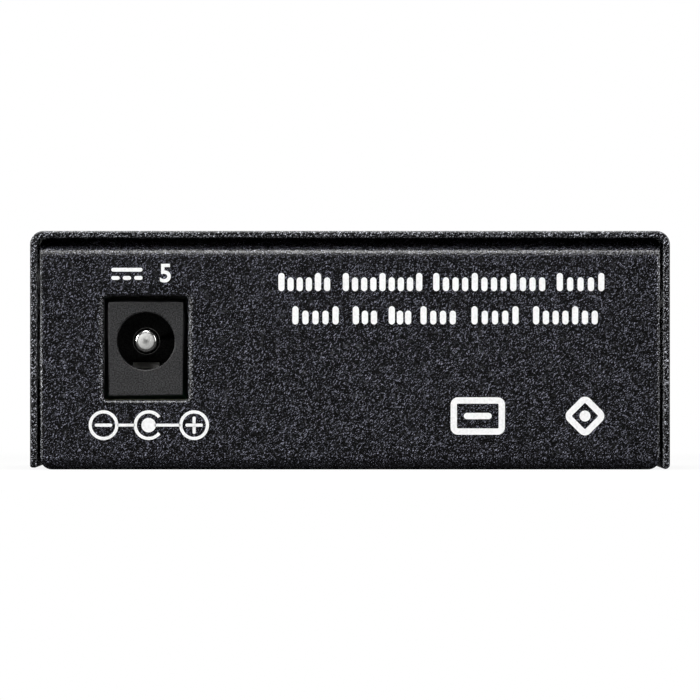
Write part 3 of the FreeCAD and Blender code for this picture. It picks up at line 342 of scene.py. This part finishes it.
def lamp_epoxy(finishes):
    """Tinted, slightly milky epoxy with a clear skin."""
    made = Finish("lamp epoxy", finishes.lens, 0.16, Specular_IOR_Level=0.5, Transmission_Weight=0.35,
                  Coat_Weight=0.5, Coat_Roughness=0.05)
    made.set("Base Color", made.shaded(made.noise(1.2 * MM, 1.0), 0.85, 1.15))
    made.set("Roughness", 0.16 + 0.10 * made.noise(0.3 * MM))
    return made.material


def capacitor_film(finishes):
    """Dark shrunk sleeve with a pale stripe of short dashes down its rear side."""
    made = Finish("capacitor film", finishes.sleeve, 0.34, Specular_IOR_Level=0.5)
    low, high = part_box("capacitor_1")
    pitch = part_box("capacitor_2")[0].x - low.x
    centre = (low + high) / 2
    apart = made.node("ShaderNodeSeparateXYZ", None, {0: made.place})
    across = Signal(made, apart.outputs["X"]) - centre.x
    wrapped = across.maths("PINGPONG", across, pitch / 2)
    behind = Signal(made, apart.outputs["Y"]) < centre.y
    stripe = (wrapped < 0.9 * MM) * behind
    up = Signal(made, apart.outputs["Z"])
    dash = (up.maths("PINGPONG", up, 1.1 * MM) < 0.5 * MM) * (wrapped < 0.45 * MM)
    dark, pale = made.shaded(made.noise(0.9 * MM), 0.85, 1.2), (0.42, 0.44, 0.48)
    made.set("Base Color", made.mix(stripe * (1.0 - dash), dark, pale))
    made.bump(made.noise(0.5 * MM, 1.0), 0.01 * MM)
    return made.material


# ---------------------------------------------------------------- making pieces
def show(mesh_data, name, slot, *stands_for):
    """Links a finished mesh, ties it to the case and hides the CAD nodes it stands for."""
    mesh_data.shade_smooth()
    mesh_data.set_sharp_from_angle(angle=math.radians(50))
    piece = bpy.data.objects.new(name, mesh_data)
    bpy.context.scene.collection.objects.link(piece)
    flat = piece.modifiers.new("flat faces stay flat", "WEIGHTED_NORMAL")
    flat.keep_sharp = True
    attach(piece, "root")
    if stands_for:
        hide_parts(*stands_for)
    return piece


def dressed(node, material, slot, *others, pick=None, reshape=None):
    """A merged copy of a CAD node with its finish.

    others are further materials, pick gives the index of one for a face, and reshape works on the
    copy before that.
    """
    shape = bmesh.new()
    shape.from_mesh(nodes[node].data)
    bmesh.ops.remove_doubles(shape, verts=shape.verts, dist=MERGE)
    bmesh.ops.dissolve_limit(shape, angle_limit=math.radians(0.4), use_dissolve_boundaries=False,
                             verts=shape.verts, edges=shape.edges, delimit=set())
    if reshape:
        reshape(shape)
    mesh = bpy.data.meshes.new(node)
    for each in (material, *others):
        mesh.materials.append(each)
    for face in shape.faces:
        face.material_index = int(pick(face)) if pick else 0
    shape.to_mesh(mesh)
    shape.free()
    return show(mesh, "dressed_" + node, slot, node)


def outside(low, high, play=0.02 * MM):
    """Picks the faces whose middle lies outside a box, such as the leads of a moulded body."""
    def pick(face):
        middle = face.calc_center_median()
        return not all(low[k] - play <= middle[k] <= high[k] + play for k in range(3))
    return pick


# ---------------------------------------------------------------- printed marks
class Print:
    """Flat marks in a thin raised film on the power panel, drawn at X and Z on its face."""

    def __init__(self, film):
        self.shape = bmesh.new()
        self.film = film

    def lift(self, faces):
        """Gives flat faces drawn at the panel's surface the film's thickness."""
        grown = bmesh.ops.extrude_face_region(self.shape, geom=faces)["geom"]
        bmesh.ops.translate(self.shape, vec=(0.0, -self.film, 0.0),
                            verts=[g for g in grown if isinstance(g, bmesh.types.BMVert)])

    def disc(self, x, z, radius, segments=40):
        upright = Matrix.Translation((x, panel_y, z)) @ Matrix.Rotation(math.pi / 2, 4, "X")
        made = bmesh.ops.create_circle(self.shape, cap_ends=True, segments=segments, radius=radius,
                                       matrix=upright)
        self.lift(list({f for v in made["verts"] for f in v.link_faces}))

    def bar(self, x0, x1, z0, z1, width, steps=12):
        """A straight stroke with round ends, whose centres are at the two points."""
        along = Vector((x1 - x0, 0.0, z1 - z0))
        across = Vector((-along.z, 0.0, along.x)).normalized() * width / 2
        ends = []
        for x, z, turn in ((x0, z0, 0.0), (x1, z1, math.pi)):
            for i in range(steps + 1):
                spin = Matrix.Rotation(turn + math.pi * i / steps, 3, "Y")
                ends.append(self.shape.verts.new(Vector((x, panel_y, z)) - spin @ across))
        self.lift(bmesh.ops.contextual_create(self.shape, geom=ends)["faces"])

    def frame(self, corners, width, rounding):
        """A closed outline inside these corners, rounded where it turns."""
        before = set(self.shape.faces)
        verts = [self.shape.verts.new((x, panel_y, z)) for x, z in corners]
        bmesh.ops.contextual_create(self.shape, geom=verts)
        bmesh.ops.bevel(self.shape, geom=verts, offset=rounding, affect="VERTICES", segments=6,
                        profile=0.5, material=-1)
        panel = [f for f in self.shape.faces if f not in before]
        ring = bmesh.ops.inset_region(self.shape, faces=panel, thickness=width,
                                      use_even_offset=True, use_boundary=True)["faces"]
        bmesh.ops.delete(self.shape, geom=panel, context="FACES_ONLY")
        self.lift(ring)

    def arc(self, x, z, radius, stroke, start=0.0, sweep=2 * math.pi, steps=64):
        """A ring, or part of one, that starts from an angle above the right-hand side."""
        centre = Vector((x, panel_y, z))
        before = set(self.shape.faces)
        ends = [self.shape.verts.new(centre + Vector((r * math.cos(start), 0.0, r * math.sin(start))))
                for r in (radius - stroke, radius)]
        edge = self.shape.edges.new(ends)
        bmesh.ops.spin(self.shape, geom=[*ends, edge], cent=centre, axis=(0.0, -1.0, 0.0),
                       angle=sweep, steps=steps, use_merge=sweep == 2 * math.pi)
        self.lift([f for f in self.shape.faces if f not in before])

    def number(self, text, x, z, height):
        """A plain figure that stands on a baseline, made a mesh before it is placed."""
        curve = bpy.data.curves.new("figure", "FONT")
        curve.body, curve.size, curve.offset = text, 1.0, 0.022
        figure = bpy.data.objects.new("figure", curve)
        bpy.context.scene.collection.objects.link(figure)
        bpy.context.view_layer.update()
        drawn = figure.evaluated_get(bpy.context.evaluated_depsgraph_get())
        mesh = bpy.data.meshes.new_from_object(drawn)
        bpy.data.objects.remove(figure)
        low = Vector(map(min, *[v.co for v in mesh.vertices]))
        high = Vector(map(max, *[v.co for v in mesh.vertices]))
        foot = Matrix.Translation((-(low.x + high.x) / 2, -low.y, 0.0))
        upright = Matrix.Translation((x, panel_y, z)) @ Matrix.Rotation(math.pi / 2, 4, "X")
        mesh.transform(upright @ Matrix.Scale(height / (high.y - low.y), 4) @ foot)
        before = set(self.shape.faces)
        self.shape.from_mesh(mesh)
        self.lift([f for f in self.shape.faces if f not in before])

    def finish(self, name, material):
        bmesh.ops.remove_doubles(self.shape, verts=self.shape.verts, dist=MERGE)
        bmesh.ops.recalc_face_normals(self.shape, faces=self.shape.faces)
        mesh = bpy.data.meshes.new(name)
        mesh.materials.append(material)
        self.shape.to_mesh(mesh)
        self.shape.free()
        return show(mesh, name, "case_paint")


# ---------------------------------------------------------------- operators
class DressCase(bpy.types.Operator):
    """Gives the tray and the cover their textured paint, with a lighter copy on their cut and rolled
    edges as a painted highlight
    """

    bl_idname = "converter.dress_case"
    bl_label = "Case"

    jack_play = 0.12 * MM          # between the jack and the flanks of its cut-out
    rolled_edge = 0.5 * MM         # covers the rolled edge, to the side of a flank
    sheet_skin = 0.6 * MM          # covers the rolled edge, behind the panel's face
    widening = 1.8

    def rolled_cutout(self, shape):
        """Widens the rolled edges on the two flanks of the power jack's cut-out."""
        bottom, top = jack_low.z - 0.6 * MM, jack_high.z + 0.8 * MM
        for v in shape.verts:
            if v.co.y > panel_y + self.sheet_skin or not bottom < v.co.z < top:
                continue
            for edge, side in ((jack_low.x - self.jack_play, -1), (jack_high.x + self.jack_play, 1)):
                beyond = (v.co.x - edge) * side
                if 0 < beyond < self.rolled_edge:
                    v.co.x = edge + side * self.widening * beyond

    def execute(self, context):
        finishes = context.scene.converter_finishes
        paint = powder_coat(finishes)
        # Painted highlight: the same paint 2.8 times lighter, for the light caught by the cut and
        # rolled edges.
        edge_highlight_paint = powder_coat(finishes, "powder coat, painted edge highlight", 2.8)
        tray_skin = -panel_y - 0.35 * MM
        cover_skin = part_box("top_cover")[1].y - 0.3 * MM

        def rounded_side(face):
            return abs(face.calc_center_median().y) > tray_skin and abs(face.normal.x) > 0.1

        def cut_end(face):
            return abs(face.calc_center_median().y) > cover_skin and abs(face.normal.y) > 0.2

        # The tray's rolled flanks and the cover's cut ends take the painted highlight.
        dressed("base_tray", paint, "case_paint", edge_highlight_paint, pick=rounded_side,
                reshape=self.rolled_cutout)
        dressed("top_cover", paint, "case_paint", edge_highlight_paint, pick=cut_end)
        return {"FINISHED"}


class DressFasteners(bpy.types.Operator):
    """Gives the screws and standoffs their black and plated finishes"""

    bl_idname = "converter.dress_fasteners"
    bl_label = "Fasteners"

    def execute(self, context):
        black = moulding("black oxide", (0.022, 0.022, 0.023), 0.38, 0.1 * MM, 0.004 * MM, 0.6)
        zinc = metal("zinc plate", (0.62, 0.62, 0.60), 0.28)
        dressed("cover_screws", black, "black_screw")
        for node in ("board_standoffs", "board_screws"):
            dressed(node, zinc, "plated_steel")
        return {"FINISHED"}


class DressPowerJack(bpy.types.Operator):
    """Finishes the power jack's moulding, pin and contacts"""

    bl_idname = "converter.dress_power_jack"
    bl_label = "Power jack"

    front_bevel = 0.45 * MM        # on the solid's front
    draft = 1.8 * MM               # how far back the bevel is drawn
    bore_reach = 5.0 * MM          # the bore's rim is nearer the middle, the face's corners farther
    edge_round = 0.14 * MM

    def drafted_front(self, shape):
        """Draws the front's bevel back into a steep draft, and breaks the edge that it leaves."""
        near = lambda a, b: abs(a - b) < 0.02 * MM
        for v in shape.verts:
            on_side = (near(v.co.x, jack_low.x) or near(v.co.x, jack_high.x)
                       or near(v.co.z, jack_low.z) or near(v.co.z, jack_high.z))
            if on_side and near(v.co.y, jack_low.y + self.front_bevel):
                v.co.y += self.draft
        middle_x, middle_z = (jack_low.x + jack_high.x) / 2, (jack_low.z + jack_high.z) / 2
        reach = lambda v: abs(v.co.x - middle_x) + abs(v.co.z - middle_z)
        outline = [e for e in shape.edges if all(near(v.co.y, jack_low.y) for v in e.verts)
                   and any(f.normal.y > -0.9 for f in e.link_faces)
                   and max(reach(v) for v in e.verts) > self.bore_reach]
        bmesh.ops.bevel(shape, geom=outline, offset=self.edge_round, affect="EDGES", segments=3,
                        profile=0.5, material=-1)

    def execute(self, context):
        finishes = context.scene.converter_finishes
        plastic = moulding("jack moulding", finishes.jack, 0.42, 0.15 * MM, 0.02 * MM, 0.45, 0.95)
        dressed("dc_jack_housing", plastic, "jack_plastic", reshape=self.drafted_front)
        pin = turned_pin(finishes, *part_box("dc_jack_center_pin"))
        dressed("dc_jack_center_pin", pin, "bright_nickel")
        strip = metal("tinned strip", (0.84, 0.83, 0.80), 0.55, (1.0, 0.08, 1.0))
        for node in ("dc_jack_pin_terminal", "dc_jack_sleeve_spring", "dc_jack_switch_contact"):
            dressed(node, strip, "contact_metal")
        return {"FINISHED"}


class DressNetworkSocket(bpy.types.Operator):
    """Finishes the shielded network socket and its gold wires"""

    bl_idname = "converter.dress_network_socket"
    bl_label = "Network socket"

    def execute(self, context):
        finishes = context.scene.converter_finishes
        plated = metal("shield sheet", finishes.shield, 0.3, (1.0, 0.05, 1.0))
        dressed("rj45_shield", plated, "shield_steel")
        dressed("rj45_housing", moulding("socket moulding", finishes.moulding, 0.42), "socket_plastic")
        gold = metal("gold flash", finishes.gold, 0.2, (1.0, 0.08, 1.0), tarnish=0.1)
        for node in sorted(n for n in nodes if n.startswith("rj45_contact_")):
            dressed(node, gold, "gold_contact")
        return {"FINISHED"}


class DressTransceiver(bpy.types.Operator):
    """Finishes the duplex optical module"""

    bl_idname = "converter.dress_transceiver"
    bl_label = "Optical module"

    def execute(self, context):
        finishes = context.scene.converter_finishes
        body = moulding("module moulding", finishes.moulding, 0.5, 0.2 * MM, 0.015 * MM)
        dressed("transceiver_housing", body, "optic_plastic")
        turned = metal("turned sleeve", (0.62, 0.61, 0.58), 0.25, (1.0, 6.0, 1.0))
        for node in ("receive_ferrule_sleeve", "transmit_ferrule_sleeve"):
            dressed(node, turned, "sleeve_metal")
        dressed("transceiver_pins", metal("module pins", finishes.tin, 0.3), "contact_metal")
        return {"FINISHED"}


class DressLamps(bpy.types.Operator):
    """Finishes the indicator lamps, their leads and their holders"""

    bl_idname = "converter.dress_lamps"
    bl_label = "Lamps"

    def execute(self, context):
        finishes = context.scene.converter_finishes
        lens = lamp_epoxy(finishes)
        lead = metal("lamp leads", finishes.tin, 0.3)
        holder = moulding("holder moulding", finishes.moulding, 0.45)
        lead_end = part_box("led_holder_1")[0].y + 0.1 * MM
        for node in sorted(nodes):
            if node.startswith("led_holder_"):
                dressed(node, holder, "holder_plastic")
            elif node.startswith("led_"):
                dressed(node, lens, "lamp_lens", lead,
                        pick=lambda face: face.calc_center_median().y < lead_end)
        return {"FINISHED"}


class DressBoard(bpy.types.Operator):
    """Finishes the circuit board and the parts that stand on it"""

    bl_idname = "converter.dress_board"
    bl_label = "Circuit board"

    def execute(self, context):
        finishes = context.scene.converter_finishes
        # Painted shade: the board's cut edges are near black, standing in for the shade in the gap
        # under the power jack.
        shaded_laminate = moulding("laminate edge, painted shade", (0.040, 0.042, 0.024), 0.7)
        dressed("circuit_board", solder_mask(finishes), "board_laminate", shaded_laminate,
                pick=lambda face: abs(face.normal.z) < 0.5)
        lead = metal("part leads", finishes.tin, 0.32)
        epoxy = moulding("chip epoxy", finishes.epoxy, 0.55, 0.1 * MM, 0.006 * MM)
        for node, lead_x, lead_y in (
                ("converter_chip", 1.0, 1.0),
                ("lan_transformer", 0.0, 1.3),
                ("voltage_regulator", 0.0, 1.7)):
            low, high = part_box(node)
            leads = Vector((lead_x, lead_y, 0.0)) * MM
            dressed(node, epoxy, "chip_epoxy", lead, pick=outside(low + leads, high - leads))
        drawn = metal("drawn can", (0.74, 0.74, 0.72), 0.24, (0.06, 1.0, 1.0))
        dressed("crystal", drawn, "crystal_can")
        ferrite = moulding("ferrite", (0.055, 0.055, 0.06), 0.6, 0.12 * MM, 0.02 * MM)
        dressed("power_inductor", ferrite, "ferrite")
        film = capacitor_film(finishes)
        can = metal("capacitor top", (0.75, 0.75, 0.74), 0.3)
        for node in ("capacitor_1", "capacitor_2", "capacitor_3"):
            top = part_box(node)[1].z - 0.1 * MM
            dressed(node, film, "capacitor_sleeve", can,
                    pick=lambda face: face.normal.z > 0.9 and face.calc_center_median().z > top)
        ceramic = moulding("fired ceramic", (0.05, 0.05, 0.052), 0.5)
        dressed("chip_resistors", ceramic, "resistor_body", lead)
        return {"FINISHED"}


class PrintPowerPanel(bpy.types.Operator):
    """Prints the marks on the power panel: a polarity symbol, a number, and plain shapes"""

    bl_idname = "converter.print_power_panel"
    bl_label = "Printed marks"

    def polarity(self, marks, ink):
        """Minus, the outer contact round its pin, and plus, joined by a line."""
        drawn = Print(marks.film)
        stroke, ring, z = marks.stroke, marks.ring, marks.symbol_height
        middle = (jack_low.x + jack_high.x) / 2 + 0.3 * MM
        left, right = middle - 4.93 * MM, middle + 4.98 * MM
        arm, clear = marks.sign / 2 - stroke / 2, stroke * 0.75
        for x in (left, right):
            drawn.arc(x, z, ring, stroke)
            drawn.bar(x - arm, x + arm, z, z, stroke)
        for low, high in ((-arm, -clear), (clear, arm)):
            drawn.bar(right, right, z + low, z + high, stroke)
        gap = math.radians(37)
        drawn.arc(middle, z, ring, stroke, gap, 2 * (math.pi - gap), 52)
        drawn.disc(middle, z, marks.dot)
        drawn.bar(left + ring, middle - ring, z, z, stroke * 0.9)
        drawn.bar(middle + marks.dot, right - ring, z, z, stroke * 0.9)
        drawn.finish("printed_polarity_symbol", ink)

    def supply(self, marks, ink):
        """The direct-current sign, a line over three dashes, beside a plain figure."""
        drawn = Print(marks.film)
        left, line, dashes, stroke = -25.9 * MM, 21.85 * MM, 20.95 * MM, 0.42 * MM
        drawn.bar(left, left + 3.0 * MM, line, line, stroke)
        for i in range(3):
            start = left + i * 1.25 * MM
            drawn.bar(start, start + 0.5 * MM, dashes, dashes, stroke)
        drawn.number("5", -20.2 * MM, 20.45 * MM, 2.05 * MM)
        drawn.finish("printed_supply_symbol", ink)

    def word_bars(self, marks, ink):
        """Two rows of blocks in groups, where words would stand."""
        # A row's baseline, then where each of its groups starts and ends, in millimetres.
        rows = (
            (19.5, (-8.0, -2.0), (-0.96, 8.07), (8.91, 21.54), (22.38, 28.05)),
            (15.86, (-6.52, -1.03), (0.14, 3.12), (4.12, 6.81), (7.51, 11.77), (13.06, 18.66),
             (19.82, 27.3)),
        )
        drawn = Print(marks.film)
        width = marks.block_width
        for baseline, *groups in rows:
            for start, end in groups:
                count = max(1, round((end - start) * MM / marks.block_pitch))
                for i in range(count):
                    x = (start + (end - start) * (i + 0.5) / count) * MM
                    height = marks.word_height * (1.0 if i % 4 == 0 else 0.76)
                    foot = baseline * MM
                    drawn.bar(x, x, foot + width / 2, foot + height - width / 2, width)
        drawn.finish("printed_word_bars", ink)

    def shapes(self, marks, ink):
        """A rounded box with a bar in it, and a diamond with a dot."""
        drawn = Print(marks.film)
        heavy, rounding = 2 * marks.stroke, 0.8 * MM
        left, right, low, high = 11.0 * MM, 16.95 * MM, 3.8 * MM, 7.9 * MM
        level, margin = (low + high) / 2, 1.8 * MM
        drawn.frame([(left, low), (right, low), (right, high), (left, high)], heavy, rounding)
        drawn.bar(left + margin, right - margin, level, level, heavy)
        x, reach = 25.7 * MM, 2.45 * MM
        drawn.frame([(x - reach, level), (x, level - reach), (x + reach, level), (x, level + reach)],
                    heavy, rounding)
        drawn.disc(x, level, 0.6 * MM)
        drawn.finish("printed_shapes", ink)

    def execute(self, context):
        ink = screen_ink(context.scene.converter_finishes)
        for draw in (self.polarity, self.supply, self.word_bars, self.shapes):
            draw(context.scene.converter_print, ink)
        return {"FINISHED"}


class SetStage(bpy.types.Operator):
    """Makes the floor, the lights, the surroundings and the camera"""

    bl_idname = "converter.set_stage"
    bl_label = "Stage"

    def floor(self, stage):
        """A white floor with a little shade near the object, which is clear from below."""
        shape = bmesh.new()
        bmesh.ops.create_grid(shape, x_segments=1, y_segments=1, size=12.0,
                              matrix=Matrix.Translation((0.0, 0.0, -0.02 * MM)))
        mesh = bpy.data.meshes.new("floor")
        shape.to_mesh(mesh)
        shape.free()
        sheet = Finish("pale floor", (0.80, 0.80, 0.80), 0.9, Specular_IOR_Level=0.0)
        path = sheet.node("ShaderNodeLightPath")
        camera, glossy, through = (Signal(sheet, path.outputs["Is %s Ray" % kind])
                                   for kind in ("Camera", "Glossy", "Transmission"))
        apart = sheet.node("ShaderNodeSeparateXYZ", None, {0: sheet.place})
        behind = Signal(sheet, apart.outputs["Y"]).rising(-0.05, 0.25)
        distance = sheet.node("ShaderNodeVectorMath", {"operation": "LENGTH"}, {0: sheet.place})
        away = Signal(sheet, distance.outputs["Value"]).rising(0.22, 0.5)
        glow = sheet.node("ShaderNodeEmission", None, {"Color": (1, 1, 1, 1), "Strength": 1.0})
        plain = sheet.node("ShaderNodeBsdfDiffuse", None, {"Color": (0.06, 0.06, 0.06, 1.0)})
        clear = sheet.node("ShaderNodeBsdfTransparent")
        mixed = lambda factor, first, second: sheet.node(
            "ShaderNodeMixShader", None, {0: factor, 1: first.outputs[0], 2: second.outputs[0]})
        seen = mixed(stage.floor_share * (1.0 - away), glow, sheet.shader)
        above = mixed(camera + (glossy + through) * behind, plain, seen)
        sides = mixed(sheet.node("ShaderNodeNewGeometry").outputs["Backfacing"], above, clear)
        output = next(n for n in sheet.tree.nodes if n.type == "OUTPUT_MATERIAL")
        sheet.tree.links.new(sides.outputs[0], output.inputs["Surface"])
        mesh.materials.append(sheet.material)
        floor = bpy.data.objects.new("floor", mesh)
        bpy.context.scene.collection.objects.link(floor)

    def light(self, name, place, target, width, height, radiance):
        """A soft box of even brightness, turned to its target and hidden from the camera."""
        lamp = bpy.data.lights.new(name, "AREA")
        lamp.shape = "RECTANGLE"
        lamp.size, lamp.size_y = width, height
        lamp.energy = radiance * math.pi * width * height
        piece = bpy.data.objects.new(name, lamp)
        piece.visible_camera = False
        facing = (Vector(target) - Vector(place)).to_track_quat("-Z", "Y")
        piece.matrix_world = Matrix.Translation(place) @ facing.to_matrix().to_4x4()
        bpy.context.scene.collection.objects.link(piece)

    def surroundings(self, stage):
        """White behind the object, for the eye and for reflections, and a dim room elsewhere."""
        world = bpy.data.worlds.new("studio")
        world.use_nodes = True
        tree = world.node_tree
        tree.nodes.clear()
        output, path, place, apart, back, lit, shown, white, grey, mix = (
            tree.nodes.new("ShaderNode" + kind) for kind in (
                "OutputWorld", "LightPath", "TexCoord", "SeparateXYZ", "MapRange", "Math", "Math",
                "Background", "Background", "MixShader"))
        white.inputs["Color"].default_value = (1, 1, 1, 1)
        grey.inputs["Color"].default_value = (stage.surround,) * 3 + (1,)
        back.inputs["From Min"].default_value, back.inputs["From Max"].default_value = -0.1, 0.4
        lit.operation, shown.operation = "MAXIMUM", "MULTIPLY_ADD"
        for source, target in (
                (place.outputs["Generated"], apart.inputs[0]),
                (apart.outputs["Y"], back.inputs["Value"]),
                (path.outputs["Is Glossy Ray"], lit.inputs[0]),
                (path.outputs["Is Transmission Ray"], lit.inputs[1]),
                (lit.outputs[0], shown.inputs[0]),
                (back.outputs["Result"], shown.inputs[1]),
                (path.outputs["Is Camera Ray"], shown.inputs[2]),
                (shown.outputs[0], mix.inputs[0]),
                (grey.outputs[0], mix.inputs[1]),
                (white.outputs[0], mix.inputs[2]),
                (mix.outputs[0], output.inputs["Surface"])):
            tree.links.new(source, target)
        bpy.context.scene.world = world

    def execute(self, context):
        stage = context.scene.converter_stage
        self.floor(stage)
        self.surroundings(stage)
        case, ahead = (0.0, 0.0, 0.013), (0.0, 0.0, 0.25)
        for name, place, target, width, height, radiance in (
                ("overhead", (0.0, -0.53, 1.07), case, 0.5, 0.75, stage.overhead),
                ("front softbox", (0.0, -1.25, 1.0), case, 0.9, 0.5, stage.overhead * 0.1),
                ("left box", (-0.95, -0.82, 0.36), case, 0.45, 0.6, stage.side * 1.3),
                ("right box", (0.95, -0.82, 0.36), case, 0.36, 0.6, stage.side * 0.45),
                ("rear", (0.0, 1.2, 0.7), case, 1.2, 0.6, stage.rear),
                ("front card", (0.0, -2.4, 0.25), ahead, 0.7, 0.5, stage.front)):
            self.light(name, place, target, width, height, radiance)

        camera = bpy.data.cameras.new("camera")
        camera.sensor_width = 36.0
        camera.lens = camera.sensor_width * stage.camera_distance / stage.view_width
        camera.clip_start, camera.clip_end = 0.1, 40.0
        viewer = bpy.data.objects.new("camera", camera)
        viewer.location = (0.0, panel_y - stage.camera_distance, stage.camera_height)
        viewer.rotation_euler = (math.pi / 2, 0.0, 0.0)
        context.scene.collection.objects.link(viewer)
        context.scene.camera = viewer
        context.scene.view_settings.view_transform = "Standard"
        return {"FINISHED"}


class ConverterPanel(bpy.types.Panel):
    """Lists the sizes, the colours and the steps that make the converter"""

    bl_idname = "VIEW3D_PT_converter"
    bl_label = "Fibre media converter"
    bl_space_type = "VIEW_3D"
    bl_region_type = "UI"
    bl_category = "Converter"

    def draw(self, context):
        for name, group in GROUPS.items():
            box = self.layout.box()
            for key in group.__annotations__:
                box.prop(getattr(context.scene, name), key)
        for step in STEPS:
            self.layout.operator(step.bl_idname)


GROUPS = {
    "converter_finishes": ConverterFinishes,
    "converter_print": ConverterPrint,
    "converter_stage": ConverterStage,
}
STEPS = (
    DressCase,
    DressFasteners,
    DressPowerJack,
    DressNetworkSocket,
    DressTransceiver,
    DressLamps,
    DressBoard,
    PrintPowerPanel,
    SetStage,
)


def register():
    for name, group in GROUPS.items():
        bpy.utils.register_class(group)
        setattr(bpy.types.Scene, name, PointerProperty(type=group))
    for step in STEPS + (ConverterPanel,):
        bpy.utils.register_class(step)


def unregister():
    for step in (ConverterPanel,) + STEPS[::-1]:
        bpy.utils.unregister_class(step)
    for name, group in GROUPS.items():
        delattr(bpy.types.Scene, name)
        bpy.utils.unregister_class(group)


def main():
    register()
    for step in STEPS:
        family, name = step.bl_idname.split(".")
        getattr(getattr(bpy.ops, family), name)()


if __name__ == "__main__":
    main()
